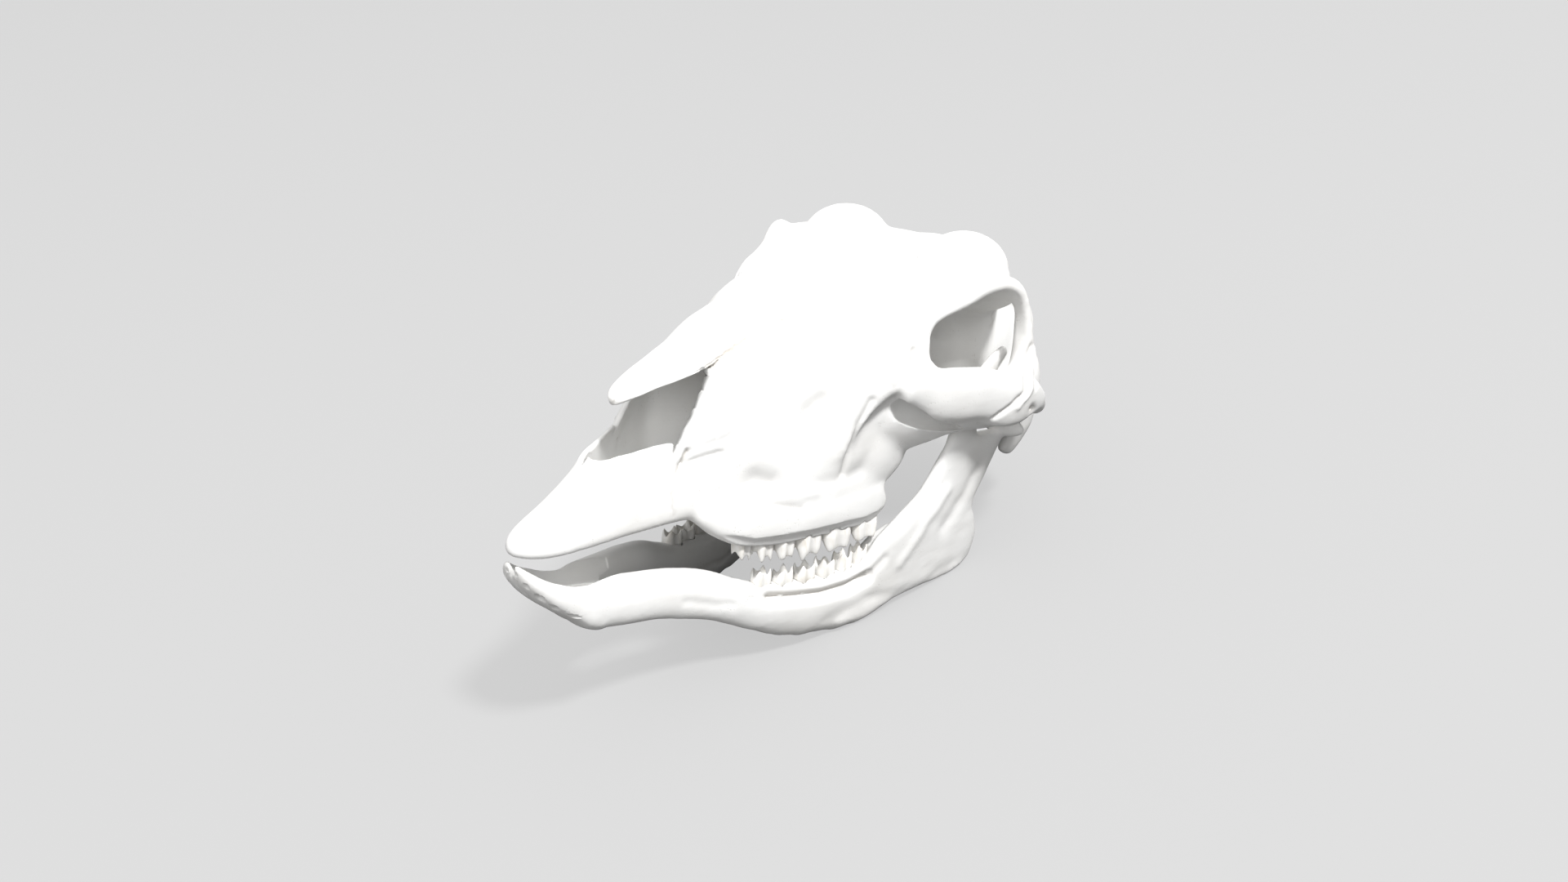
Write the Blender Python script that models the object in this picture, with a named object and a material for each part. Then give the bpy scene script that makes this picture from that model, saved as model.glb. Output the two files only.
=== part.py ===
"""A young sheep's skull with its lower jaw, in metres.

The forms are laid out in millimetres in the skull's own frame: x to the
animal's left, y back from the tip of the snout, z up. At the end the whole
skull is tipped nose up onto the lower jaw and set on the floor.
"""

import math

import bpy
import numpy as np

MM = 0.001
NOSE_UP = math.radians(14.6)
SOCKET_GAP = 0.3
SYMPHYSIS_GAP = 0.16


# Numbers along a row, smoothed without overshoot.

def smooth_rows(rows, count):
    """Returns count even steps of the first column and the other columns there."""
    rows = np.array(rows, float)
    t = rows[:, 0]
    p = rows[:, 1:]
    h = np.diff(t)[:, None]
    d = np.diff(p, axis=0) / h
    m = np.zeros_like(p)
    m[0], m[-1] = d[0], d[-1]
    a, b = d[:-1], d[1:]
    w1 = 2 * h[1:] + h[:-1]
    w2 = h[1:] + 2 * h[:-1]
    same = a * b > 0
    safe_a = np.where(same, a, 1)
    safe_b = np.where(same, b, 1)
    m[1:-1] = np.where(same, (w1 + w2) / (w1 / safe_a + w2 / safe_b), 0)
    q = np.linspace(t[0], t[-1], count)
    i = np.clip(np.searchsorted(t, q, "right") - 1, 0, len(t) - 2)
    s = ((q - t[i]) / h[i, 0])[:, None]
    hi = h[i]
    value = ((2 * s**3 - 3 * s**2 + 1) * p[i] + (s**3 - 2 * s**2 + s) * hi * m[i]
             + (3 * s**2 - 2 * s**3) * p[i + 1] + (s**3 - s**2) * hi * m[i + 1])
    return q, value


def power(c, e):
    return np.sign(c) * np.abs(c) ** e


# Closed meshes as (vertices, faces) pairs.

def outward(v, f):
    """The same mesh with its faces turned out."""
    volume = 0.0
    for face in f:
        a = v[face[0]]
        for j in range(1, len(face) - 1):
            volume += np.dot(a, np.cross(v[face[j]], v[face[j + 1]]))
    if volume < 0:
        f = [tuple(reversed(face)) for face in f]
    return v, f


def grid_mesh(rings, closed=False):
    """Joins rings of points side by side, and closes the two ends with fans."""
    n, m, _ = rings.shape
    v = rings.reshape(-1, 3)
    last = n if closed else n - 1
    f = [(i * m + j, i * m + (j + 1) % m, (i + 1) % n * m + (j + 1) % m, (i + 1) % n * m + j)
         for i in range(last) for j in range(m)]
    if not closed:
        v = np.vstack([v, rings[0].mean(0), rings[-1].mean(0)])
        f += [((j + 1) % m, j, n * m) for j in range(m)]
        f += [((n - 1) * m + j, (n - 1) * m + (j + 1) % m, n * m + 1) for j in range(m)]
    return outward(v, f)


def hull(rows, count=50, around=40):
    """Upright rings along y; a row is y, top, middle, bottom, half width, two exponents, centre x."""
    y, r = smooth_rows([row if len(row) == 8 else tuple(row) + (0,) for row in rows], count)
    top, mid, low, wide, n_up, n_low, xc = (c[:, None] for c in r.T)
    a = np.linspace(0, 2 * np.pi, around, endpoint=False)[None, :]
    n = np.where(np.cos(a) > 0, n_up, n_low)
    x = xc + wide * power(np.sin(a), 2 / n)
    z = mid + np.where(np.cos(a) > 0, top - mid, mid - low) * power(np.cos(a), 2 / n)
    return grid_mesh(np.stack([x, np.repeat(y[:, None], around, 1), z], -1))


def plate(rows, count=40, around=36, n=2.6):
    """Level rings up z; a row is z, front y, back y, centre x, half thickness, turn out going back."""
    z, r = smooth_rows(rows, count)
    front, back, xc, thick, lean = (c[:, None] for c in r.T)
    a = np.linspace(0, 2 * np.pi, around, endpoint=False)[None, :]
    out = (back - front) / 2 * power(np.sin(a), 2 / n)
    x = xc + thick * power(np.cos(a), 2 / n) + lean * out
    y = (front + back) / 2 + out
    return grid_mesh(np.stack([x, y, np.repeat(z[:, None], around, 1)], -1))


def sweep(rows, up=(0, 0, 1), count=36, around=16, n=2.0, closed=False):
    """Rings across a smooth path; a row is x, y, z, half size along up, half size across."""
    rows = np.array(rows, float)
    if closed:
        rows = np.vstack([rows[-2:], rows, rows[:3]])
    t = np.concatenate([[0], np.cumsum(np.linalg.norm(np.diff(rows[:, :3], axis=0), axis=1))])
    if closed:
        start, end = t[2], t[-3]
        _, r = smooth_rows(np.column_stack([t, rows]), 400)
        fine = np.linspace(t[0], t[-1], 400)
        where = np.linspace(start, end, count, endpoint=False)
        r = np.stack([np.interp(where, fine, c) for c in r.T], -1)
    else:
        _, r = smooth_rows(np.column_stack([t, rows]), count)
    p = r[:, :3]
    tangent = np.roll(p, -1, 0) - np.roll(p, 1, 0) if closed else np.gradient(p, axis=0)
    tangent /= np.linalg.norm(tangent, axis=1)[:, None]
    side = np.cross(tangent, np.array(up, float))
    side /= np.linalg.norm(side, axis=1)[:, None]
    rise = np.cross(side, tangent)
    a = np.linspace(0, 2 * np.pi, around, endpoint=False)
    c, s = power(np.cos(a), 2 / n), power(np.sin(a), 2 / n)
    rings = (p[:, None] + rise[:, None] * c[None, :, None] * r[:, 3][:, None, None]
             + side[:, None] * s[None, :, None] * r[:, 4][:, None, None])
    return grid_mesh(rings, closed)


def blob(center, radii, turn=0.0, rows=18, around=26):
    """An ellipsoid, turned about x by some degrees."""
    u = np.linspace(0, np.pi, rows + 2)[1:-1][:, None]
    a = np.linspace(0, 2 * np.pi, around, endpoint=False)[None, :]
    p = np.stack([np.sin(u) * np.cos(a), np.sin(u) * np.sin(a), np.cos(u) + 0 * a], -1)
    p = p * np.array(radii, float)
    c, s = math.cos(math.radians(turn)), math.sin(math.radians(turn))
    p = p @ np.array([[1, 0, 0], [0, c, s], [0, -s, c]])
    return grid_mesh(p + np.array(center, float))


def funnel(outline, stages, count=36):
    """A flat outline (y, z) carried through stages of (x, y, z, scale) and closed."""
    p = np.array(outline, float)
    t = np.concatenate([[0], np.cumsum(np.linalg.norm(np.diff(np.vstack([p, p[:1]]), axis=0), axis=1))])
    ring = np.vstack([p, p[:1]])
    where = np.linspace(0, t[-1], count, endpoint=False)
    flat = np.stack([np.interp(where, t, c) for c in ring.T], -1)
    flat = (flat + np.roll(flat, 1, 0) + np.roll(flat, -1, 0)) / 3
    middle = flat.mean(0)
    rings = [np.column_stack([np.full(count, x), (flat - middle) * k + (y, z)]) for x, y, z, k in stages]
    return grid_mesh(np.array(rings))


def prism(outline, near, far):
    """A flat outline (y, z) stretched between two x."""
    p = np.array(outline, float)
    n = len(p)
    v = np.vstack([np.column_stack([np.full(n, x), p]) for x in (near, far)])
    f = [(j, (j + 1) % n, n + (j + 1) % n, n + j) for j in range(n)]
    f += [tuple(range(n)), tuple(reversed(range(n, 2 * n)))]
    return outward(v, f)


def mirrored(mesh):
    v, f = mesh
    return v * (-1, 1, 1), [tuple(reversed(face)) for face in f]


def both(*meshes):
    return list(meshes) + [mirrored(m) for m in meshes]


# Blender objects: fusing shapes into one body and cutting hollows in it.

def new_object(name, meshes):
    points = []
    faces = []
    start = 0
    for v, f in meshes:
        faces += [tuple(i + start for i in face) for face in f]
        points.append(v)
        start += len(v)
    data = bpy.data.meshes.new(name)
    data.from_pydata((np.vstack(points) * MM).tolist(), [], faces)
    data.validate()
    obj = bpy.data.objects.new(name, data)
    bpy.context.scene.collection.objects.link(obj)
    return obj


def settle(obj):
    """Makes the object's modifiers part of its mesh."""
    graph = bpy.context.evaluated_depsgraph_get()
    made = bpy.data.meshes.new_from_object(obj.evaluated_get(graph))
    old = obj.data
    obj.modifiers.clear()
    obj.data = made
    bpy.data.meshes.remove(old)


def fuse(obj, voxel, smooth):
    remesh = obj.modifiers.new("fuse", "REMESH")
    remesh.mode = "VOXEL"
    remesh.voxel_size = voxel * MM
    soften = obj.modifiers.new("soften", "SMOOTH")
    soften.factor = 0.5
    soften.iterations = smooth
    settle(obj)


def cut(obj, *meshes):
    for mesh in meshes:
        cutter = new_object("cutter", [mesh])
        cutter.hide_render = True
        boolean = obj.modifiers.new("cut", "BOOLEAN")
        boolean.object = cutter
        boolean.solver = "EXACT"
        settle(obj)
        old = cutter.data
        bpy.data.objects.remove(cutter)
        bpy.data.meshes.remove(old)


def thin_out(obj, triangles):
    count = sum(len(p.vertices) - 2 for p in obj.data.polygons)
    decimate = obj.modifiers.new("thin", "DECIMATE")
    decimate.ratio = triangles / count
    decimate.use_collapse_triangulate = True
    settle(obj)


for old in list(bpy.data.objects):
    bpy.data.objects.remove(old)


# The cranium: snout, face, forehead, braincase, orbits and arches in one body.

SNOUT = [
    (1.6, 41.6, 40, 38.6, 2, 2, 2), (3, 43.8, 40, 38.4, 4.6, 2, 2.4),
    (5.5, 46, 40.2, 38.2, 7, 2, 2.6), (10, 48.8, 40.2, 38.2, 9.3, 2, 2.8),
    (16, 51.8, 40.6, 38.8, 11, 2, 2.8), (24, 57.6, 41.5, 39.8, 12.3, 2, 2.8),
    (31, 64, 42.4, 40.6, 13, 2.1, 2.8), (36, 69.5, 43.3, 41, 13.6, 2.3, 2.8),
    (41, 73.5, 44.4, 41.4, 14.4, 2.3, 2.8), (48, 80, 46, 42, 16, 2.2, 2.8),
    (56, 87.2, 49, 42.6, 18.8, 2.4, 2.8), (65, 93.2, 52.5, 42.2, 22, 2.8, 2.7),
    (75, 98.2, 55, 41.8, 26, 3, 2.8), (90, 103.1, 58, 42.5, 31, 3.5, 2.8),
    (102, 105.8, 61, 44, 34.6, 3.5, 2.8), (115, 108.4, 65, 46, 36.4, 3.3, 2.6),
    (127, 112, 69, 49, 36.4, 2.9, 2.4), (137, 116, 74, 54, 33, 2.4, 2),
    (145, 117, 80, 60, 27, 2, 2), (156, 119, 86, 62, 18, 2, 2)]

CHEEK = [
    (92, 102.8, 62, 54, 31.4, 3.5, 2), (98, 104.8, 63, 52, 33.6, 3.5, 2.2),
    (102.5, 105.8, 64, 50, 34.8, 3.5, 2.4), (105, 106.4, 66, 50, 36.8, 3.4, 2.4),
    (108, 107, 72, 54, 38.6, 3.3, 2.2), (113, 108.1, 80, 66, 41, 3.1, 2),
    (120, 110.2, 85, 76, 43.3, 3, 2), (127, 112.6, 88, 79.5, 45, 2.8, 2),
    (132, 114.5, 91, 80, 44.6, 2.6, 2), (138, 116, 95, 84, 41, 2.4, 2)]

FOREHEAD = [
    (122, 110.4, 100, 92, 38, 2.4, 2), (133, 115.2, 105, 96, 41, 2.4, 2), (140, 118, 108, 99, 42.6, 2.4, 2),
    (147, 120.6, 111, 102, 45.6, 2.4, 2), (155, 122.6, 115, 106, 50, 2.5, 2),
    (163, 124, 115.5, 106, 52, 2.6, 2), (170, 124.5, 113, 103, 50, 2.5, 2),
    (178, 124.3, 110, 99, 43, 2.3, 2), (186, 122, 108, 98, 34, 2.2, 2), (196, 117, 106, 98, 20, 2, 2)]

BRAINCASE = [
    (140, 117, 90, 62, 17, 2, 2), (160, 121, 90, 58, 21, 2, 2), (180, 122, 88, 56, 28, 2, 2),
    (197, 117, 85, 56, 31.5, 2, 2), (210, 109.5, 82, 58, 30, 2.2, 2.2), (218, 101, 80, 61, 26, 2.3, 2.3),
    (223, 92, 79, 65, 18, 2, 2)]

ORBIT_RIM = [
    (45.2, 135, 87.6, 3, 3.2), (42.2, 131.6, 94.5, 3, 3), (41.4, 131.4, 101, 3, 3),
    (41.9, 134.4, 106.2, 3, 3), (43.3, 141.2, 109.6, 3, 3), (46, 148.8, 113.2, 3, 3),
    (48.7, 154, 117, 3, 3), (51.8, 160.2, 118.6, 2.8, 2.8), (53.2, 164.8, 116.3, 2.9, 2.7),
    (53.6, 168.9, 110.6, 3.7, 2.7), (54, 171.1, 103, 4.4, 3.1), (54.2, 172.4, 95.5, 4.8, 3.7),
    (54.7, 171.6, 89, 4.5, 4.3), (54.2, 162, 86, 3, 3.5), (51.5, 152, 88, 3, 3.2),
    (48.5, 143.5, 88.1, 3, 3.2)]

JUGAL = [
    (43.5, 124, 86, 5, 4), (46.2, 132, 85, 7.3, 4), (49, 138.5, 82.8, 8.4, 3.8),
    (51, 144.5, 82.6, 8.8, 3.5), (53, 151, 82.6, 8.6, 3.3), (54.4, 158, 81, 8.6, 3.3),
    (55.3, 164.5, 78.6, 10, 3.3), (56, 171, 78.2, 9.8, 3.3), (55.6, 177, 77.6, 7.6, 3.4),
    (54.2, 182.5, 76.5, 4.8, 3.6), (51, 187.5, 73.8, 4.2, 4), (47, 192.5, 72, 4.2, 5),
    (41, 197, 71, 5, 6), (32, 199, 73, 8, 8)]

TOOTH_RIDGE = [
    (17.5, 61, 47.5, 4, 4.5), (20.5, 68, 44.3, 6.3, 5.3), (23.2, 76, 42.7, 8, 5.8),
    (26, 87, 42.4, 8.4, 6), (28.4, 98, 42.8, 8.2, 6.1), (29.6, 110, 43.2, 8.4, 6.2),
    (30.4, 121, 43.6, 8.4, 6.1), (30.6, 127, 44.4, 7.8, 5.8), (30.4, 131, 47, 6.4, 4.6)]

ORBIT_OPENING = [
    (139.5, 90.4), (136.8, 91.6), (134.4, 95.8), (134, 100.6), (137, 104.8), (143, 107.4),
    (150.2, 110.7), (155, 114.2), (160.6, 116), (163.9, 114.6), (167.4, 109.6), (169.3, 102.6),
    (169.7, 95.5), (166.5, 90.6), (161, 89), (150.5, 91.7), (144.1, 91)]

NASAL_CAVITY = [
    (29.5, 58, 50, 46, 2.2, 2, 2), (32, 66, 51, 46, 3.6, 2, 2), (36, 76, 52, 46, 4.8, 2, 2.2),
    (41, 82, 53, 46.2, 6.6, 1.9, 2.3), (47, 85, 54, 46.6, 9.6, 1.9, 2.3), (53, 87, 54, 47, 13, 1.9, 2.3),
    (62, 91, 56, 47.2, 17, 2.2, 2.2), (75, 95, 60, 48, 20.5, 2.5, 2), (90, 99, 66, 51, 22.5, 2.6, 2),
    (105, 102, 72, 55, 22, 2.3, 2), (118, 103, 78, 60, 18, 2, 2), (128, 99, 82, 68, 10, 2, 2)]

# Top, half width and droop of the side edge of the paired nasal bones along y.
NASALS = [
    (38, 82.8, 2, 0.5), (40.2, 84.3, 4.4, 0.8), (44, 86.2, 6.6, 1.1), (49, 88.5, 8.1, 1.5), (56, 91.1, 9.9, 2.1),
    (64, 94.3, 11.7, 2.6), (75, 99.1, 12.8, 2.6), (90, 103.7, 13.2, 2.1), (105, 107, 13.2, 1.7),
    (118, 109.4, 12, 1.4)]


def make_cranium():
    shapes = [hull(SNOUT, 70, 56), hull(CHEEK, 40, 48), hull(FOREHEAD, 44, 44), hull(BRAINCASE, 40, 44)]
    shapes.append(blob((0, 184, 88), (33, 40, 35.5), 0, 24, 40))
    shapes += both(
        blob((27, 169, 117), (14.8, 18, 13.6)),
        blob((39.5, 133, 96), (6, 8, 13), -12),
        sweep(ORBIT_RIM, up=(1, 0.2, 0.1), count=60, around=12, closed=True),
        sweep(JUGAL, up=(0.12, 0, 1), count=56, around=20, n=2.3),
        sweep(TOOTH_RIDGE, count=44, around=24, n=3.0),
        sweep([(21, 72, 49, 4.5, 4), (26.6, 86, 50, 4.5, 4.6), (29.8, 99, 50.6, 4.5, 4.4),
               (31.4, 112, 51.4, 5, 4.2), (32, 124, 53, 5.5, 4)], count=30),
        blob((30.2, 127, 62), (7, 15.8, 16)),
        blob((31, 131.5, 60), (5.4, 11.2, 11)),
        blob((46, 175.6, 71), (8, 5, 5.8)),
        # the ledge under the arch, above the branch of the jaw
        sweep([(33, 126, 66, 10, 3), (37, 132, 69.4, 8.6, 3), (42.8, 140, 73.4, 6.6, 3),
               (46.6, 147.5, 73.4, 5.6, 3), (48.2, 156, 72.4, 5.6, 3), (48.8, 165, 71.6, 6, 3.1),
               (48.6, 172, 71.6, 6.4, 3.4), (47, 181, 71.4, 6, 4.4)], up=(0.65, 0, 1), count=36),
        # side wall behind the maxilla and the pterygoid plate under it
        sweep([(24, 136, 63, 7, 5), (20.5, 150, 64, 8, 5), (19.5, 165, 63, 8, 5.5), (22, 180, 64, 7, 6),
               (27, 192, 66, 6, 7)], count=30),
        sweep([(15, 131, 52, 9, 2.4), (13, 143, 55, 8, 2.2), (12.2, 156, 57, 7.5, 2.1), (13, 168, 59, 7, 2.2),
               (14, 180, 60, 5, 2.4)], count=28),
        # ear opening, mastoid, bulla, condyle and the prong beside it
        sweep([(24, 203, 74, 8, 8), (31, 204, 72, 7, 7), (36, 203.5, 70.5, 5.5, 5.5), (40, 203, 69, 4.2, 4.2)],
              count=20),
        blob((29.5, 209.5, 74), (6.5, 7.5, 13.5), 8),
        blob((17.5, 195, 59.5), (6.5, 9.5, 6.5), 10),
        blob((12, 222.5, 68), (7.5, 8, 9.5), -25),
        sweep([(29, 211.5, 66, 5.4, 4.8), (28.6, 212.5, 58, 5.4, 3.8), (27.4, 211, 51, 5.2, 3.2),
               (26.2, 208.2, 44.6, 4, 2.6)], up=(0, 1, 0), count=22))
    shapes.append(sweep([(0, 138, 66, 7, 9), (0, 165, 62, 6, 9), (0, 190, 60, 6, 9), (0, 210, 61, 6, 10),
                         (0, 219, 62.5, 4.5, 9)], count=30))
    shapes.append(sweep([(-29, 208, 85, 4, 4), (-22, 214, 97, 4, 4.5), (-9, 217.5, 102, 4, 4.6),
                         (9, 217.5, 102, 4, 4.6), (22, 214, 97, 4, 4.5), (29, 208, 85, 4, 4)],
                        up=(0, 1, 0.3), count=36))
    skull = new_object("cranium", shapes)
    fuse(skull, VOXEL, 7)

    orbit = funnel(ORBIT_OPENING, [(66, 150.5, 102, 1.18), (57, 151.5, 102.3, 1.03), (50, 152.5, 102, 0.98),
                                   (42, 155, 101, 0.94), (34, 157.5, 99, 0.8), (27, 159, 97, 0.55),
                                   (22.5, 160, 96, 0.2)])
    behind = sweep([(43, 160, 102, 8.5, 8), (41.5, 170, 98.5, 10, 8), (41.5, 180, 93.5, 9, 8),
                    (40, 190, 89, 7, 6), (39, 197, 87, 4, 4)], count=24, around=20)
    cut(skull, *both(orbit, behind), hull(NASAL_CAVITY, 40, 36))
    notch = [(32.6, 65), (36, 66.5), (41, 67.8), (46, 69), (51.6, 70), (51, 65.8), (53.4, 69.4),
             (56.4, 74.5), (59.8, 80), (63.2, 85), (66, 89), (67.4, 93.6), (62, 100), (30, 100), (16, 88), (22, 68)]
    cut(skull, prism(notch, -32, 32))
    brain = sweep([(0, 238, 76, 8, 8.5), (0, 222, 76, 7.5, 8.5), (0, 213, 80, 10, 11), (0, 203, 86, 18, 20),
                   (0, 184, 89, 23, 24), (0, 168, 91, 18, 18), (0, 160, 92, 8, 8)], count=34, around=26)
    choana = sweep([(0, 108, 64, 6, 9), (0, 122, 63, 7.5, 9.5), (0, 138, 57, 9, 9.5), (0, 156, 51, 9, 8.8),
                    (0, 172, 46, 8, 8)], count=26, around=22)
    cut(skull, brain, choana)

    outer = hull([(y, top, top - drop - 0.4, top - drop - 2.2, w, 2.1, 2) for y, top, w, drop in NASALS], 44, 40)
    nasal = new_object("nasals", [outer])
    v = [np.array([p.co[:] for p in o.data.vertices]) / MM for o in (skull, nasal)]
    f = [[tuple(p.vertices) for p in o.data.polygons] for o in (skull, nasal)]
    for o in (skull, nasal):
        bpy.data.objects.remove(o)
    skull = new_object("cranium", [(v[0], f[0]), (v[1], f[1])])
    fuse(skull, VOXEL * 0.8, 3)
    return skull


# The lower jaw: two halves that meet in front in an unfused joint.

JAW_FRONT = [
    (2, 36.8, 35.4, 33.6, 3.6, 2, 2), (3.2, 36.4, 34, 31, 6, 2.2, 2.4),
    (5, 35.6, 32.4, 28.6, 7.8, 2.2, 2.8), (7.2, 34.4, 30.6, 26.4, 9, 2.3, 3),
    (9.6, 33, 28.6, 24, 9.8, 2.4, 3), (12, 32, 26.8, 22, 10.3, 2.4, 3),
    (16, 30.6, 24, 19, 10.7, 2.5, 3), (21.5, 29, 20.5, 15.4, 11, 2.5, 3.2),
    (27, 28.4, 18, 11.6, 11.2, 2.5, 3.4), (32.5, 27.8, 17.4, 9.7, 10.8, 2.5, 3.4),
    (36.5, 26, 17.4, 10.4, 9.4, 2.5, 3), (40, 23, 17.6, 13, 6.5, 2.4, 2.4)]

# Top, middle, bottom, half thickness, two exponents and centre x along one half.
JAW_BODY = [
    (25, 26.4, 19.5, 14, 3.4, 2.3, 2.2, 5.8), (29, 27.6, 19.2, 12.2, 4.2, 2.3, 2.2, 6.2),
    (34, 28, 19, 10.8, 4.7, 2.3, 2.2, 7), (41, 27.8, 19, 10.6, 4.6, 2.3, 2.2, 8.6),
    (50, 27.6, 18.8, 10.6, 4.4, 2.3, 2.2, 10.6), (60, 26.8, 17.8, 9.4, 4.5, 2.3, 2.2, 13),
    (70, 24.6, 16, 7.6, 4.8, 2.3, 2.2, 15.8), (78, 21.4, 14.2, 4.8, 5.2, 2.4, 2.1, 18.4),
    (86, 18.8, 12.4, 1.6, 5.8, 2.5, 2.1, 21), (96, 18.2, 12, -1.2, 6.2, 2.6, 2, 23.8),
    (106, 18.4, 12.2, -2.8, 6.4, 2.6, 2, 26.2), (116, 19.4, 13.4, -2.8, 6.3, 2.6, 2, 28.4),
    (122, 20.5, 14.4, -2, 6.1, 2.6, 2, 29.8), (127, 23.6, 16, -1, 5.8, 2.4, 2, 30.8),
    (132, 29.4, 17.5, 0.4, 5.4, 2.3, 2, 31.8), (138, 33, 19.5, 3, 4.6, 2.2, 2, 33)]

# Front edge, back edge, centre x and half thickness of the upright plate, going up.
JAW_BRANCH = [
    (-1.2, 115, 126, 29.8, 2.5, 0.12), (1.5, 113, 133, 30.8, 4, 0.12),
    (4.8, 114, 141, 31.6, 4.6, 0.11), (7.3, 115, 154, 32.4, 4.8, 0.1),
    (9, 117, 165, 33.3, 4.8, 0.09), (11, 119, 172.5, 34.1, 4.8, 0.07),
    (14.4, 121, 179.2, 34.9, 4.6, 0.05), (22, 124, 180.7, 36, 4.4, 0.04),
    (29, 128, 178.5, 36.8, 4.3, 0.03), (35, 135.3, 175.6, 37.5, 4.1, 0.02),
    (44, 145.6, 179, 38.5, 3.7, 0), (53, 150.9, 182.6, 39.6, 3.4, 0),
    (58, 153.2, 184.6, 40.4, 3.3, 0), (62, 155.6, 187, 41, 2.6, 0)]


def make_jaw():
    front = hull(JAW_FRONT, 34, 36)
    half = new_object("jaw_front", [front])
    cut(half, prism([(-20, -20), (70, -20), (70, 70), (-20, 70)], -40, SYMPHYSIS_GAP + 0.6))
    v = np.array([p.co[:] for p in half.data.vertices]) / MM
    f = [tuple(p.vertices) for p in half.data.polygons]
    bpy.data.objects.remove(half)
    jaw = new_object("jaw_left", [
        (v, f), hull(JAW_BODY, 60, 32), plate(JAW_BRANCH, 40, 48, 2.7),
        # condyle with its neck, and the hooked process in front of it
        blob((41, 184.8, 63), (9, 4.2, 3.6)),
        sweep([(40.3, 162, 57, 8, 3.2), (40.8, 162.4, 66, 6.4, 2.8), (41.2, 163.6, 73.5, 5.4, 2.4),
               (41.8, 167.6, 81.5, 4.8, 2), (42.3, 173, 88, 3.6, 1.8), (42.6, 178, 92, 2, 1.5)],
              up=(0, 1, -0.1), count=30)])
    fuse(jaw, VOXEL * 0.85, 4)
    cut(jaw, prism([(-20, -20), (70, -20), (70, 70), (-20, 70)], -40, SYMPHYSIS_GAP))
    return jaw


# The cheek teeth: each a tall block with pointed cusps, standing in its own socket.

# Front y, back y, centre x, half width, bone edge z, outer cusp height, inner cusp height.
UPPER_TEETH = [
    (73.8, 79.8, 22.9, 3.0, 35.6, 7.0, 6.0), (80.6, 87.4, 25.1, 3.5, 35.0, 7.4, 6.4),
    (88.2, 95.2, 26.9, 3.9, 34.8, 7.2, 6.4), (96.0, 105.8, 28.7, 4.4, 35.0, 8.2, 7.0),
    (106.6, 118.8, 29.8, 4.6, 35.2, 7.2, 6.4), (119.6, 131.2, 30.6, 4.2, 36.2, 6.6, 5.6)]
LOWER_TEETH = [
    (84.4, 91.6, 21.4, 2.6, 18.4, 4.9, 4.2), (92.4, 99.4, 23.6, 2.8, 17.8, 4.6, 3.8),
    (100.2, 107.8, 25.6, 3.0, 18.0, 4.3, 5.2), (108.6, 115.4, 27.4, 3.1, 18.8, 5.2, 4.8),
    (116.2, 122.0, 28.8, 3.0, 19.8, 6.2, 5.2), (122.8, 128.4, 30.1, 2.8, 21.6, 6.0, 5.0)]
ROOT_DEPTH = 8

# Crown rim height round half a tooth: end, corner, cusp, notch, cusp, corner.
RIM = np.array([0.52, 0.78, 1.0, 0.62, 0.95, 0.78])


def tooth_ring(tooth, size, spread=0.0):
    """Twelve points round a tooth, pinched between its two lobes."""
    front, back, xc, wide = tooth[:4]
    a = np.linspace(0, 2 * np.pi, 12, endpoint=False)
    pinch = np.array([1, 1, 1, 0.84, 1, 1] * 2)
    x = xc + (wide * size + spread) * pinch * power(np.sin(a), 2 / 2.8)
    y = (front + back) / 2 - ((back - front) / 2 * size + spread) * power(np.cos(a), 2 / 2.8)
    return x, y


def tooth_mesh(tooth, up):
    """A root with a cusped crown; up is 1 for a lower tooth and -1 for an upper one."""
    edge, outer, inner = tooth[4:]
    rings = []
    for depth, size in ((ROOT_DEPTH, 0.6), (0.6, 0.86)):
        x, y = tooth_ring(tooth, size)
        rings.append(np.stack([x, y, np.full(12, edge - up * depth)], -1))
    tall = np.where(np.arange(12) < 7, outer, inner)
    x, y = tooth_ring(tooth, 1.0)
    rings.append(np.stack([x, y, edge + up * tall * np.tile(RIM, 2)], -1))
    x, y = tooth_ring(tooth, 0.4)
    rings.append(np.stack([x, y, np.full(12, edge + up * 0.42 * min(outer, inner))], -1))
    return grid_mesh(np.array(rings))


def socket_mesh(tooth, up):
    edge = tooth[4]
    rings = []
    for height, size in ((-ROOT_DEPTH - SOCKET_GAP, 0.6), (-0.6, 0.86), (5, 1.05)):
        x, y = tooth_ring(tooth, size, SOCKET_GAP * 1.15)
        rings.append(np.stack([x, y, np.full(12, edge + up * height)], -1))
    return grid_mesh(np.array(rings))


# Assembly: thin the two bones, cut the sockets, mirror the left side, tip the skull and set it down.

VOXEL = 1.5
CRANIUM_TRIANGLES = 4080
JAW_TRIANGLES = 880

cranium = make_cranium()
jaw = make_jaw()
thin_out(cranium, CRANIUM_TRIANGLES)
thin_out(jaw, JAW_TRIANGLES)
upper_sockets = [socket_mesh(tooth, -1) for tooth in UPPER_TEETH]
cut(cranium, *both(*upper_sockets))
cut(jaw, *[socket_mesh(tooth, 1) for tooth in LOWER_TEETH])

jaw.name = "mandible_left"
v = np.array([p.co[:] for p in jaw.data.vertices]) / MM
f = [tuple(p.vertices) for p in jaw.data.polygons]
nodes = [cranium, jaw, new_object("mandible_right", [mirrored((v, f))])]
for row, teeth, up in (("upper", UPPER_TEETH, -1), ("lower", LOWER_TEETH, 1)):
    for i, tooth in enumerate(teeth):
        mesh = tooth_mesh(tooth, up)
        nodes.append(new_object(f"tooth_{row}_left_{i + 1}", [mesh]))
        nodes.append(new_object(f"tooth_{row}_right_{i + 1}", [mirrored(mesh)]))

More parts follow.
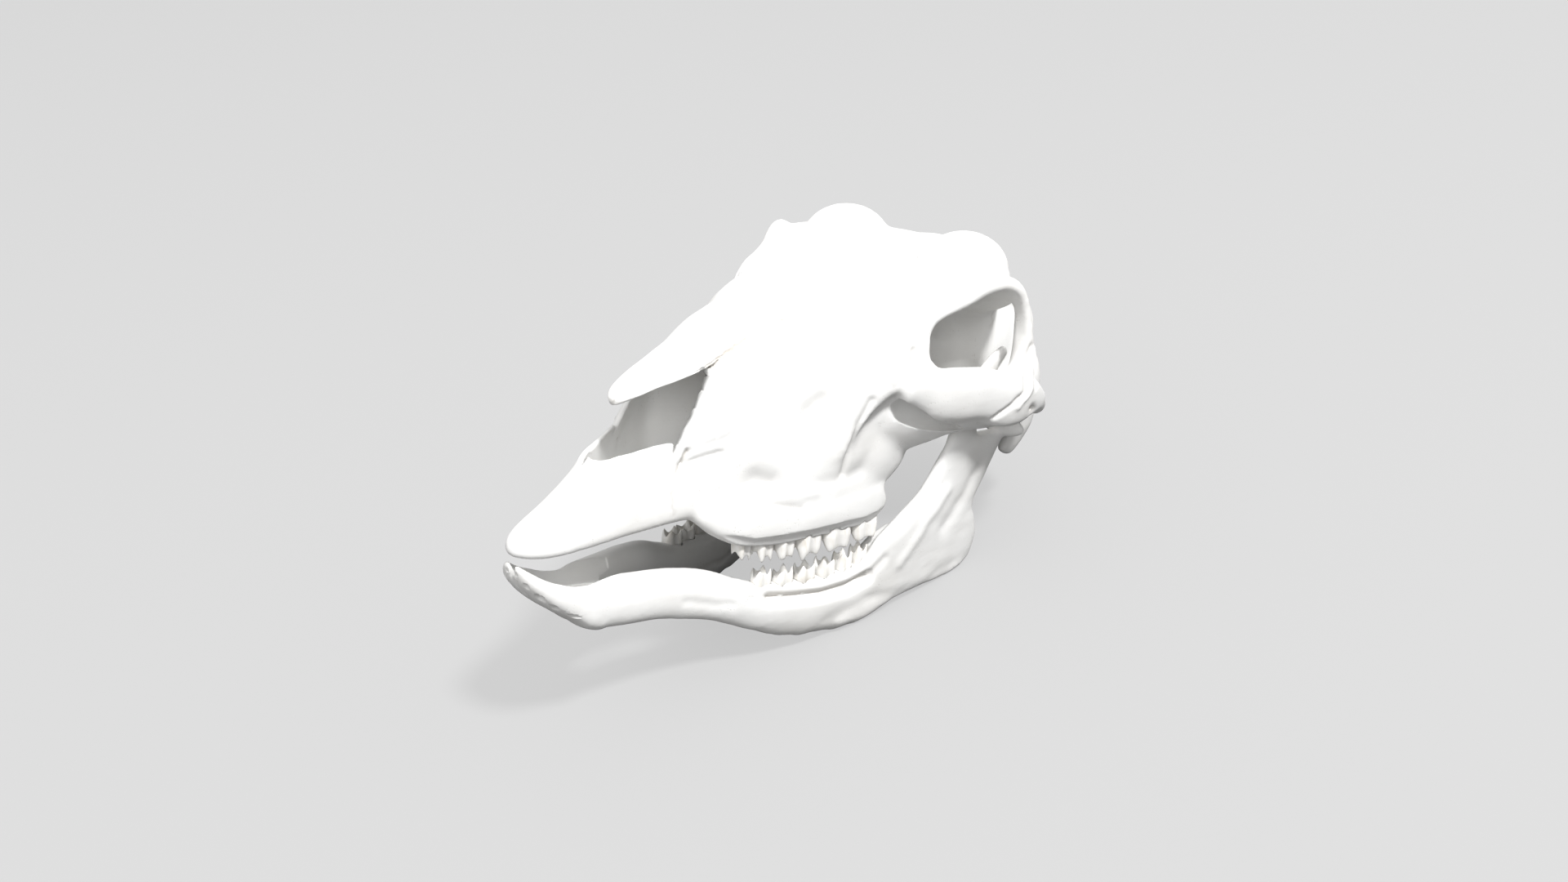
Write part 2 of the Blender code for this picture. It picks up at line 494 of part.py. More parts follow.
c, s = math.cos(NOSE_UP), math.sin(NOSE_UP)
tip = np.array([[1, 0, 0], [0, c, s], [0, -s, c]])
turned = [np.array([p.co[:] for p in o.data.vertices]) @ tip.T for o in nodes]
low = np.min([p.min(0) for p in turned], 0)
high = np.max([p.max(0) for p in turned], 0)
shift = np.array([(low[0] + high[0]) / 2, (low[1] + high[1]) / 2, low[2]])
for obj, points in zip(nodes, turned):
    obj.data.vertices.foreach_set("co", (points - shift).astype(np.float32).ravel())
    obj.data.update()
PLACED = np.vstack([np.column_stack([tip * MM, -shift]), (0, 0, 0, 1)])
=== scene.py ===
import math

import bpy
import numpy as np
from mathutils import Matrix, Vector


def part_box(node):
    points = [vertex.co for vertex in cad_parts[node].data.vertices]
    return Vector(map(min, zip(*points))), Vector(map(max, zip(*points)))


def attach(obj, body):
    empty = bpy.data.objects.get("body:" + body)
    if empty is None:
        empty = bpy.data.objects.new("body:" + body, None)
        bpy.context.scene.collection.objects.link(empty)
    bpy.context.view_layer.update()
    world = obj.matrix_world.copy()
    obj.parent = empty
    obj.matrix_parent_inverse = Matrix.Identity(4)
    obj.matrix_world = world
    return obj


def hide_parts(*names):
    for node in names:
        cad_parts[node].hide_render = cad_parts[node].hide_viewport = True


# How a young sheep's dry skull looks: white bone, ivory cheek teeth, a pale floor and soft light.
# All forms are laid out in millimetres in the skull's own frame, x to the animal's left, y back
# from the tip of the snout and z up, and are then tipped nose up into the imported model's place.

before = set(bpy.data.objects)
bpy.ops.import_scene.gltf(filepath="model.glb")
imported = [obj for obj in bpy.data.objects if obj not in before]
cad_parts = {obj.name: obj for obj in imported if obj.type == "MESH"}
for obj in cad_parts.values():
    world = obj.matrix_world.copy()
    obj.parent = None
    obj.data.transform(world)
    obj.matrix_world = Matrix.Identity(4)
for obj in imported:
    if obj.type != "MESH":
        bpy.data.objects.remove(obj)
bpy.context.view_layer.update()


# The main walls of the cranium: snout, cheeks, forehead and braincase. Thin hard bone over a
# spongy core, grown as plates that close at the sutures. Each is a run of upright oval rings.

MM = 0.001
NOSE_UP = math.radians(14.6)
TIP = np.array([[1, 0, 0], [0, math.cos(NOSE_UP), math.sin(NOSE_UP)],
                [0, -math.sin(NOSE_UP), math.cos(NOSE_UP)]])

# The root end of the first upper cheek tooth: its back and its top, by which the frame is met.
FIRST_ROOT_BACK = np.array([0, 78.6, 43.6])
FIRST_ROOT_TOP = np.array([0, 75.0, 43.6])
left_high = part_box("tooth_upper_left_1")[1]
right_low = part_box("tooth_upper_right_1")[0]
HOME = np.array([(left_high[0] + right_low[0]) / 2,
                 left_high[1] - (TIP @ FIRST_ROOT_BACK)[1] * MM,
                 left_high[2] - (TIP @ FIRST_ROOT_TOP)[2] * MM])

# Rows are y, top, middle, bottom, half width and the two exponents of the upper and lower arcs.
SNOUT = [
    (1.6, 41.6, 40, 38.6, 2, 2, 2), (3, 43.8, 40, 38.4, 4.6, 2, 2.4),
    (5.5, 46, 40.2, 38.2, 7, 2, 2.6), (10, 48.8, 40.2, 38.2, 9.3, 2, 2.8),
    (16, 51.8, 40.6, 38.8, 11, 2, 2.8), (24, 57.6, 41.5, 39.8, 12.3, 2, 2.8),
    (31, 64, 42.4, 40.6, 13, 2.1, 2.8), (36, 69.5, 43.3, 41, 13.6, 2.3, 2.8),
    (41, 73.5, 44.4, 41.4, 14.4, 2.3, 2.8), (48, 80, 46, 42, 16, 2.2, 2.8),
    (56, 87.2, 49, 42.6, 18.8, 2.4, 2.8), (65, 93.2, 52.5, 42.2, 22, 2.8, 2.7),
    (75, 98.2, 55, 41.8, 26, 3, 2.8), (90, 103.1, 58, 42.5, 31, 3.5, 2.8),
    (102, 105.8, 61, 44, 34.6, 3.5, 2.8), (115, 108.4, 65, 46, 36.4, 3.3, 2.6),
    (127, 112, 69, 49, 36.4, 2.9, 2.4), (137, 116, 74, 54, 33, 2.4, 2),
    (145, 117, 80, 60, 27, 2, 2), (156, 119, 86, 62, 18, 2, 2)]
CHEEK = [
    (92, 102.8, 62, 54, 31.4, 3.5, 2), (98, 104.8, 63, 52, 33.6, 3.5, 2.2),
    (102.5, 105.8, 64, 50, 34.8, 3.5, 2.4), (105, 106.4, 66, 50, 36.8, 3.4, 2.4),
    (108, 107, 72, 54, 38.6, 3.3, 2.2), (113, 108.1, 80, 66, 41, 3.1, 2),
    (120, 110.2, 85, 76, 43.3, 3, 2), (127, 112.6, 88, 79.5, 45, 2.8, 2),
    (132, 114.5, 91, 80, 44.6, 2.6, 2), (138, 116, 95, 84, 41, 2.4, 2)]
FOREHEAD = [
    (122, 110.4, 100, 92, 38, 2.4, 2), (133, 115.2, 105, 96, 41, 2.4, 2),
    (140, 118, 108, 99, 42.6, 2.4, 2), (147, 120.6, 111, 102, 45.6, 2.4, 2),
    (155, 122.6, 115, 106, 50, 2.5, 2), (163, 124, 115.5, 106, 52, 2.6, 2),
    (170, 124.5, 113, 103, 50, 2.5, 2), (178, 124.3, 110, 99, 43, 2.3, 2),
    (186, 122, 108, 98, 34, 2.2, 2), (196, 117, 106, 98, 20, 2, 2)]
BRAINCASE = [
    (140, 117, 90, 62, 17, 2, 2), (160, 121, 90, 58, 21, 2, 2), (180, 122, 88, 56, 28, 2, 2),
    (197, 117, 85, 56, 31.5, 2, 2), (210, 109.5, 82, 58, 30, 2.2, 2.2),
    (218, 101, 80, 61, 26, 2.3, 2.3), (223, 92, 79, 65, 18, 2, 2)]
# Round forms have a centre, half sizes and a turn about x in degrees.
BRAIN_ROUND = ((0, 184, 88), (33, 40, 35.5), 0)


def eased(rows, count):
    """Even steps of the first column, and the other columns there: cubics between the rows whose
    slopes are the harmonic mean of the slopes on both sides, so nothing overshoots."""
    rows = np.array(rows, float)
    t = rows[:, 0]
    p = rows[:, 1:]
    h = np.diff(t)[:, None]
    d = np.diff(p, axis=0) / h
    m = np.zeros_like(p)
    m[0], m[-1] = d[0], d[-1]
    a, b = d[:-1], d[1:]
    w1 = 2 * h[1:] + h[:-1]
    w2 = h[1:] + 2 * h[:-1]
    same = a * b > 0
    m[1:-1] = np.where(same, (w1 + w2) / (w1 / np.where(same, a, 1) + w2 / np.where(same, b, 1)), 0)
    q = np.linspace(t[0], t[-1], count)
    i = np.clip(np.searchsorted(t, q, "right") - 1, 0, len(t) - 2)
    s = ((q - t[i]) / h[i, 0])[:, None]
    rise = (2 * s**3 - 3 * s**2 + 1) * p[i] + (3 * s**2 - 2 * s**3) * p[i + 1]
    lean = h[i] * ((s**3 - 2 * s**2 + s) * m[i] + (s**3 - s**2) * m[i + 1])
    return q, rise + lean


def angles(count):
    """Even angles round a full turn."""
    return np.linspace(0, 2 * np.pi, count, endpoint=False)


def power(c, e):
    """The size of c to the power e, with the sign of c."""
    return np.sign(c) * np.abs(c) ** e


def skinned(rings, closed=False):
    """Rings of points joined side by side in four-sided faces, the ends closed with fans, and all
    faces turned so that the enclosed volume, the sum of the corner determinants, is positive."""
    n, m, _ = rings.shape
    v = rings.reshape(-1, 3)
    i = np.arange(n * m).reshape(n, m)
    here, there = (i, np.roll(i, -1, 0)) if closed else (i[:-1], i[1:])
    quads = np.stack([here, np.roll(here, -1, 1), np.roll(there, -1, 1), there], -1).reshape(-1, 4)
    fans = np.zeros((0, 3), int)
    if not closed:
        v = np.vstack([v, rings[0].mean(0), rings[-1].mean(0)])
        ends = [np.stack([np.roll(i[0], -1), i[0], np.full(m, n * m)], -1),
                np.stack([i[-1], np.roll(i[-1], -1), np.full(m, n * m + 1)], -1)]
        fans = np.vstack(ends)
    thirds = np.vstack([quads[:, :3], quads[:, [0, 2, 3]], fans])
    if np.linalg.det(v[thirds]).sum() < 0:
        quads, fans = quads[:, ::-1], fans[:, ::-1]
    return v, quads.tolist() + fans.tolist()


def upright(rows, count=90, around=72):
    """Ring at y: x = centre + w sin(a)^(2/n), z = middle + reach cos(a)^(2/n), where reach and n
    are those of the upper arc while cos(a) is positive and those of the lower arc below it."""
    y, r = eased([tuple(row) + (0,) * (8 - len(row)) for row in rows], count)
    top, middle, low, wide, n_up, n_low, centre = (c[:, None] for c in r.T)
    a = angles(around)[None, :]
    n = np.where(np.cos(a) > 0, n_up, n_low)
    x = centre + wide * power(np.sin(a), 2 / n)
    z = middle + np.where(np.cos(a) > 0, top - middle, middle - low) * power(np.cos(a), 2 / n)
    return skinned(np.stack([x, np.repeat(y[:, None], around, 1), z], -1))


def knob(centre, radii, turn=0.0, rows=26, around=40):
    """Ellipsoid: radii times (sin u cos a, sin u sin a, cos u), turned about x by some degrees."""
    u = np.linspace(0, np.pi, rows + 2)[1:-1][:, None]
    a = angles(around)[None, :]
    p = np.stack([np.sin(u) * np.cos(a), np.sin(u) * np.sin(a), np.cos(u) + 0 * a], -1)
    c, s = math.cos(math.radians(turn)), math.sin(math.radians(turn))
    p = p * np.array(radii, float) @ np.array([[1, 0, 0], [0, c, s], [0, -s, c]])
    return skinned(p + np.array(centre, float))


walls = [upright(SNOUT), upright(CHEEK), upright(FOREHEAD), upright(BRAINCASE),
         knob(*BRAIN_ROUND, rows=40, around=60)]


# The eye rims, the cheek arches and the ridges over the upper teeth: rounded bars and bands of
# bone that grow out of the walls, the same on both sides. Each is an oval carried along a path.

# Rows are x, y, z along the path, then the half sizes along the up direction and across it.
EYE_RIM = [
    (45.2, 135, 87.6, 3, 3.2), (42.2, 131.6, 94.5, 3, 3), (41.4, 131.4, 101, 3, 3),
    (41.9, 134.4, 106.2, 3, 3), (43.3, 141.2, 109.6, 3, 3), (46, 148.8, 113.2, 3, 3),
    (48.7, 154, 117, 3, 3), (51.8, 160.2, 118.6, 2.8, 2.8), (53.2, 164.8, 116.3, 2.9, 2.7),
    (53.4, 168.9, 110.6, 3.3, 2.4), (53.6, 171.1, 103, 3.8, 2.6), (53.8, 172.2, 95.5, 4.2, 3.3),
    (54.7, 171.6, 89, 4.5, 4.3), (54.2, 162, 86, 3, 3.5), (51.5, 152, 88, 3, 3.2),
    (48.5, 143.5, 88.1, 3, 3.2)]
CHEEK_ARCH = [
    (43.5, 124, 86, 5.4, 4), (46.2, 132, 84.6, 8, 4), (49, 138.5, 82.2, 9.2, 3.8),
    (51, 144.5, 82, 9.4, 3.5), (53, 151, 82, 9.2, 3.3), (54.4, 158, 80.8, 8.8, 3.3),
    (55.3, 164.5, 78.6, 10, 3.3), (56, 171, 78.2, 9.8, 3.3), (55.6, 177, 77.6, 7.6, 3.4),
    (54.2, 182.5, 76.5, 4.8, 3.6), (51, 187.5, 73.8, 4.2, 4), (47, 192.5, 72, 4.2, 5),
    (41, 197, 71, 5, 6), (32, 199, 73, 8, 8)]
ARCH_LEDGE = [
    (33, 126, 66, 10, 3), (37.5, 133, 68, 10.5, 3), (42, 140, 70, 9, 3),
    (46.3, 147.5, 71.8, 6.8, 3), (48.1, 156, 72, 6.2, 3), (48.8, 165, 71.6, 6, 3.1),
    (48.6, 172, 71.6, 6.4, 3.4), (47, 181, 71.4, 6, 4.4)]
TOOTH_RIDGE = [
    (17.5, 61, 47.5, 4, 4.5), (20.5, 68, 44.3, 6.3, 5.3), (23.2, 76, 42.7, 8, 5.8),
    (26, 87, 42.4, 8.4, 6), (28.4, 98, 42.8, 8.2, 6.1), (29.6, 110, 43.2, 8.4, 6.2),
    (30.4, 121, 43.6, 8.4, 6.1), (30.6, 127, 44.4, 7.8, 5.8), (30.4, 131, 47, 6.4, 4.6)]
RIDGE_TOP = [
    (21, 72, 49, 4.5, 4), (26.6, 86, 50, 4.5, 4.6), (29.8, 99, 50.6, 4.5, 4.4),
    (31.4, 112, 51.4, 5, 4.2), (32, 124, 53, 5.5, 4)]
ARCH_BACKING = [
    (31, 114, 74, 8, 4), (33.6, 122, 76, 8, 4), (37.6, 130, 78, 7, 4), (41.6, 138, 79, 6, 4)]
BROW_BOSS = ((27, 169, 117), (14.8, 18, 13.6))
EYE_CORNER = ((39.5, 133, 96), (6, 8, 13), -12)
JAW_REST = ((46, 175.6, 71), (8, 5, 5.8))
RIDGE_END = ((30.2, 127, 62), (7, 15.8, 16))
RIDGE_END_CORE = ((31, 131.5, 60), (5.4, 11.2, 11))


def carried(rows, up=(0, 0, 1), count=70, around=36, n=2.0, closed=False):
    """Ring at each step of a smooth path: p + rise * h cos(a)^(2/n) + side * w sin(a)^(2/n), where
    side is square to the path and to up, and rise is square to both."""
    rows = np.array(rows, float)
    if closed:
        rows = np.vstack([rows[-2:], rows, rows[:3]])
    t = np.concatenate([[0], np.cumsum(np.linalg.norm(np.diff(rows[:, :3], axis=0), axis=1))])
    fine, r = eased(np.column_stack([t, rows]), 900 if closed else count)
    if closed:
        where = np.linspace(t[2], t[-3], count, endpoint=False)
        r = np.stack([np.interp(where, fine, c) for c in r.T], -1)
    p = r[:, :3]
    along = np.roll(p, -1, 0) - np.roll(p, 1, 0) if closed else np.gradient(p, axis=0)
    along /= np.linalg.norm(along, axis=1)[:, None]
    side = np.cross(along, np.array(up, float))
    side /= np.linalg.norm(side, axis=1)[:, None]
    rise = np.cross(side, along)
    a = angles(around)
    c, s = power(np.cos(a), 2 / n), power(np.sin(a), 2 / n)
    return skinned(p[:, None] + rise[:, None] * c[None, :, None] * r[:, 3][:, None, None]
                   + side[:, None] * s[None, :, None] * r[:, 4][:, None, None], closed)


def pair(*surfaces):
    """The surfaces and their mirror images in x, which have their faces turned round."""
    return list(surfaces) + [(v * (-1, 1, 1), [face[::-1] for face in f]) for v, f in surfaces]


walls += pair(
    knob(*BROW_BOSS), knob(*EYE_CORNER),
    carried(EYE_RIM, up=(1, 0.2, 0.1), count=130, around=24, closed=True),
    carried(CHEEK_ARCH, up=(0.12, 0, 1), count=100, n=2.3),
    carried(ARCH_LEDGE, up=(0.65, 0, 1), count=60),
    knob(*JAW_REST),
    carried(TOOTH_RIDGE, count=80, n=3.0),
    carried(RIDGE_TOP, count=60),
    carried(ARCH_BACKING, count=40),
    knob(*RIDGE_END), knob(*RIDGE_END_CORE))


# The base of the skull: the floor under the brain, the palate's wings, the ear bones, the two
# neck knuckles with the prongs beside them, and the crest across the back of the head. This bone is
# the thickest, and it is grown in one with the braincase.

SIDE_WALL = [(24, 136, 63, 7, 5), (20.5, 150, 64, 8, 5), (19.5, 165, 63, 8, 5.5),
             (22, 180, 64, 7, 6), (27, 192, 66, 6, 7)]
PALATE_WING = [(15, 131, 52, 9, 2.4), (13, 143, 55, 8, 2.2), (12.2, 156, 57, 7.5, 2.1),
               (13, 168, 59, 7, 2.2), (14, 180, 60, 5, 2.4)]
EAR_TUBE = [(24, 203, 74, 8, 8), (31, 204, 72, 7, 7), (35.4, 203.5, 71.4, 5, 5),
            (38, 203, 71, 3.6, 3.6)]
NECK_PRONG = [(30, 210.5, 68, 6, 5.4), (29.6, 211.8, 59, 5.6, 4.4), (28, 210.6, 51, 5, 3.4),
              (26.2, 208.2, 44.6, 3.6, 2.6)]
BASE_FLOOR = [(0, 138, 66, 7, 9), (0, 165, 62, 6, 9), (0, 190, 60, 6, 9), (0, 210, 61, 6, 10),
              (0, 219, 62.5, 4.5, 9)]
NECK_CREST = [(-29, 208, 85, 4, 4), (-22, 214, 97, 4, 4.5), (-9, 217.5, 102, 4, 4.6),
              (9, 217.5, 102, 4, 4.6), (22, 214, 97, 4, 4.5), (29, 208, 85, 4, 4)]
EAR_BACK = ((29.5, 209.5, 74), (6.5, 7.5, 13.5), 8)
EAR_BULB = ((17.5, 195, 59.5), (6.5, 9.5, 6.5), 10)
NECK_KNUCKLE = ((12, 222.5, 68), (7.5, 8, 9.5), -25)

walls += pair(
    carried(SIDE_WALL), carried(PALATE_WING), carried(EAR_TUBE),
    knob(*EAR_BACK), knob(*EAR_BULB), knob(*NECK_KNUCKLE),
    carried(NECK_PRONG, up=(0, 1, 0)))
walls += [carried(BASE_FLOOR), carried(NECK_CREST, up=(0, 1, 0.3))]


# The hollows: eye sockets open behind to the jaw muscle's gap, the nose with its long notch under
# the nasal bones, the caves below the cheek arches and above the teeth, the brain's space and the
# throat. They are cut out of the grown skin, and the free ends of the nasal bones are added last.

EYE_OPENING = [
    (139.5, 90.2), (134.2, 91.2), (133, 95.8), (133, 100.8), (136, 104.8), (142.4, 107.2),
    (150.2, 109.7), (155.5, 112.7), (160.6, 114.5), (164.4, 113.3), (168, 108.7), (170.2, 102.4),
    (170.6, 95.5), (167, 90.3), (161, 89), (150.5, 91.7), (144.1, 91)]
EYE_STAGES = [
    (66, 150.5, 102, 1.18), (57, 151.2, 102.3, 1.04), (50, 151.4, 102, 1.0),
    (42, 152.2, 101.2, 0.94), (35, 154.6, 100.4, 0.8), (27, 156.4, 99, 0.56),
    (22.5, 157, 98.4, 0.2)]
MUSCLE_GAP = [
    (45, 160, 96.5, 4.6, 4.4), (43.6, 170, 95.6, 6.6, 5), (42.4, 178, 94.4, 7.6, 6.2),
    (40, 190, 89, 7, 6), (39, 197, 87, 4, 4)]
# The nose's side walls draw in behind its opening.
NOSE_HOLLOW = [
    (29.5, 58, 50, 46, 4, 2, 2), (32, 66, 51, 46, 6.4, 2, 2), (36, 76, 52, 46, 8.8, 2, 2.2),
    (41, 82, 53, 46.2, 10.6, 1.9, 2.3), (47, 85, 54, 46.6, 12.6, 1.9, 2.3),
    (53, 87, 54, 47, 15, 1.9, 2.3), (62, 91, 56, 47.2, 18, 2.2, 2.2),
    (68, 93, 58, 47.6, 18.4, 2.6, 2), (74, 95, 61, 48.4, 15.6, 2.6, 2),
    (84, 97.6, 66, 50.4, 11, 2.6, 2), (95, 100, 70, 53, 8.6, 2.4, 2),
    (110, 102, 76, 58, 7.6, 2, 2), (124, 100, 82, 66, 6, 2, 2)]
NOSE_NOTCH = [
    (32.6, 65), (36, 66.5), (41, 67.8), (46, 69), (51.6, 70), (51, 65.8), (53.4, 69.4),
    (56.4, 74.5), (59.8, 80), (63.2, 85), (66, 89), (67.4, 93.6), (62, 100), (30, 100), (16, 88),
    (22, 68)]
# The right side's notch is a little lower in front.
FAR_NOTCH = [(30, 61.5), (36, 63.4), (41, 65), (46, 66.8), (52, 68.6), (52, 80), (40, 90), (20, 70)]
BEYOND_SNOUT = 32
FAR_NOTCH_START = -2
ARCH_CAVE = [
    (42.6, 117, 79.4, 1.2, 1.8), (43, 121, 78.4, 3.4, 3.8), (43, 127, 76.4, 4.6, 4.8),
    (44.2, 136, 73.6, 4.2, 4.4), (45.6, 145, 71.2, 3, 3.6), (46.6, 153, 69.4, 1.5, 2.4)]
RIDGE_UNDERCUT = [
    (25, 62, 40.4, 2, 1.8), (28.4, 68.5, 37.2, 4, 3.4), (31.8, 76, 33.8, 6, 5),
    (34.4, 87, 33, 6.6, 5.2), (36.8, 98, 33.4, 6.6, 5.2), (38, 110, 33.8, 6.6, 5.2),
    (38.8, 121, 34.2, 6.4, 5), (38.6, 127, 35.6, 6, 4.6), (37.4, 132, 38.4, 4.6, 3.6),
    (35, 136, 42, 2, 1.8)]
BRAIN = [
    (0, 238, 76, 8, 8.5), (0, 222, 76, 7.5, 8.5), (0, 213, 80, 10, 11), (0, 203, 86, 18, 20),
    (0, 184, 89, 23, 24), (0, 168, 91, 18, 18), (0, 160, 92, 8, 8)]
THROAT = [
    (0, 108, 64, 6, 9), (0, 122, 63, 7.5, 9.5), (0, 138, 57, 9, 9.5), (0, 156, 51, 9, 8.8),
    (0, 172, 46, 8, 8)]
# Top, half width and droop of the side edge of the paired nasal bones along y.
NASALS = [
    (38, 82.8, 2, 0.5), (40.2, 84.3, 4.4, 0.8), (44, 86.2, 6.6, 1.1), (49, 88.5, 8.1, 1.5),
    (56, 91.1, 9.9, 2.1), (64, 94.3, 11.7, 2.6), (75, 99.1, 12.8, 2.6), (90, 103.7, 13.2, 2.1),
    (105, 107, 13.2, 1.7), (118, 109.4, 12, 1.4)]
NASAL_EDGE = 0.4
NASAL_DEPTH = 2.2
# Size of the cells in which the walls grow together, and the rounds of softening after it.
FIRST_GROWTH = (0.9, 18)
FINE_GROWTH = (0.8, 6)
WORN_ROUNDS = 4


def spyhole(outline, stages, count=72):
    """Rings of a flat outline (y, z), evened and softened, moved to each stage's x, y and z and
    scaled about its middle by the stage's factor."""
    p = np.array(outline + outline[:1], float)
    t = np.concatenate([[0], np.cumsum(np.linalg.norm(np.diff(p, axis=0), axis=1))])
    where = np.linspace(0, t[-1], count, endpoint=False)
    flat = np.stack([np.interp(where, t, c) for c in p.T], -1)
    for _ in range(3):
        flat = (flat + np.roll(flat, 1, 0) + np.roll(flat, -1, 0)) / 3
    middle = flat.mean(0)
    return skinned(np.array([np.column_stack([np.full(count, x), (flat - middle) * k + (y, z)])
                             for x, y, z, k in stages]))


def slab(outline, near, far):
    """A flat outline (y, z) stretched straight between two x."""
    p = np.array(outline, float)
    n = len(p)
    v = np.vstack([np.column_stack([np.full(n, x), p]) for x in (near, far)])
    i = np.arange(n)
    sides = np.stack([i, np.roll(i, -1), np.roll(i, -1) + n, i + n], -1).tolist()
    around = np.linalg.norm(p - np.roll(p, 1, 0), axis=1).sum()
    turn = np.cross(p, np.roll(p, -1, 0)).sum() * (far - near) / around
    faces = sides + [list(range(n))[::-1], list(range(n, 2 * n))]
    return v, [face[::-1] for face in faces] if turn < 0 else faces


def solid(name, surfaces):
    """One Blender object of several closed surfaces, in the skull's frame and in metres."""
    starts = np.cumsum([0] + [len(v) for v, _ in surfaces])
    faces = [[i + int(start) for i in face]
             for (_, f), start in zip(surfaces, starts) for face in f]
    data = bpy.data.meshes.new(name)
    data.from_pydata((np.vstack([v for v, _ in surfaces]) * MM).tolist(), [], faces)
    obj = bpy.data.objects.new(name, data)
    bpy.context.scene.collection.objects.link(obj)
    return obj


def settle(obj):
    """Makes what the object's modifiers give its own mesh."""
    made = bpy.data.meshes.new_from_object(obj.evaluated_get(bpy.context.evaluated_depsgraph_get()))
    old = obj.data
    obj.modifiers.clear()
    obj.data = made
    bpy.data.meshes.remove(old)


def softened(obj, rounds):
    """Moves each point half way to the middle of its neighbours, some rounds over."""
    soften = obj.modifiers.new("soften", "SMOOTH")
    soften.factor = 0.5
    soften.iterations = rounds
    settle(obj)


def grown_together(obj, cell, rounds):
    """Turns overlapping surfaces into one skin, softened in the joins."""
    fuse = obj.modifiers.new("fuse", "REMESH")
    fuse.mode = "VOXEL"
    fuse.voxel_size = cell * MM
    softened(obj, rounds)


def hollow(obj, surfaces, operation="DIFFERENCE"):
    """Cuts closed surfaces out of the object, or joins them to it, one after another."""
    for surface in surfaces:
        cutter = solid("cutter", [surface])
        boolean = obj.modifiers.new("hollow", "BOOLEAN")
        boolean.object = cutter
        boolean.solver = "MANIFOLD"
        boolean.operation = operation
        settle(obj)
        old = cutter.data
        bpy.data.objects.remove(cutter)
        bpy.data.meshes.remove(old)


def points_of(obj):
    """The object's points in metres."""
    v = np.empty(len(obj.data.vertices) * 3)
    obj.data.vertices.foreach_get("co", v)
    return v.reshape(-1, 3)


def surface_of(obj):
    """The object's points in millimetres and its faces, so that it can join other surfaces."""
    return points_of(obj) / MM, [list(p.vertices) for p in obj.data.polygons]


cranium = solid("cranium_bone", walls)
grown_together(cranium, *FIRST_GROWTH)
hollow(cranium, pair(spyhole(EYE_OPENING, EYE_STAGES), carried(MUSCLE_GAP, count=50)))
grown_together(cranium, *FINE_GROWTH)
hollow(cranium, pair(carried(ARCH_CAVE, count=60), carried(RIDGE_UNDERCUT, count=80)))
hollow(cranium, [upright(NOSE_HOLLOW, count=110, around=90),
                 slab(NOSE_NOTCH, -BEYOND_SNOUT, BEYOND_SNOUT),
                 slab(FAR_NOTCH, -BEYOND_SNOUT, FAR_NOTCH_START),
                 carried(BRAIN), carried(THROAT)])
nasal_rows = [(y, top, top - drop - NASAL_EDGE, top - drop - NASAL_DEPTH, w, 2.1, 2)
              for y, top, w, drop in NASALS]
hollow(cranium, [upright(nasal_rows, count=110, around=80)], "UNION")
softened(cranium, WORN_ROUNDS)


# The sockets of the upper cheek teeth: pits in the spongy bone along each side of the palate. They
# open downwards, and each keeps a hair's gap round its tooth.

# Front y, back y, centre x, half width, bone edge z, outer cusp height, inner cusp height.
UPPER_TEETH = [
    (73.8, 79.8, 22.3, 3.0, 35.6, 6.0, 5.6), (80.6, 87.4, 24.4, 3.5, 35.0, 6.4, 6.0),
    (88.2, 95.2, 26.2, 3.9, 34.8, 6.4, 6.0), (96.0, 105.8, 28.1, 4.4, 35.0, 7.4, 6.4),
    (106.6, 118.8, 29.4, 4.6, 35.2, 6.8, 6.0), (119.6, 131.2, 30.4, 4.2, 36.2, 6.6, 5.6)]
ROOT_DEPTH = 8
SOCKET_GAP = 0.3
SOCKET_AROUND = 48
TOOTH_AROUND = 96


def tooth_ring(row, size, z, spread=0.0, around=TOOTH_AROUND):
    """Rounded oblong at z with a waist between its two lobes: half width falls by a fifth where
    the cosine is near zero. Starts in front and runs by the outer side."""
    front, back, centre, wide = row[:4]
    a = angles(around)
    waist = 1 - 0.2 * np.exp(-(np.cos(a) / 0.28) ** 2)
    x = centre + (wide * size + spread) * waist * power(np.sin(a), 2 / 2.8)
    y = (front + back) / 2 - ((back - front) / 2 * size + spread) * power(np.cos(a), 2 / 2.8)
    return np.stack([x, y, z + 0 * a], -1)


def socket(row, up):
    """The pit a tooth stands in: its own outline with a gap all round."""
    stages = ((-ROOT_DEPTH - SOCKET_GAP, 0.6), (-2.2, 0.86), (-0.6, 0.96), (5, 1.08))
    return skinned(np.array([
        tooth_ring(row, size, row[4] + up * height, SOCKET_GAP, SOCKET_AROUND)
        for height, size in stages]))


hollow(cranium, pair(*[socket(row, -1) for row in UPPER_TEETH]))
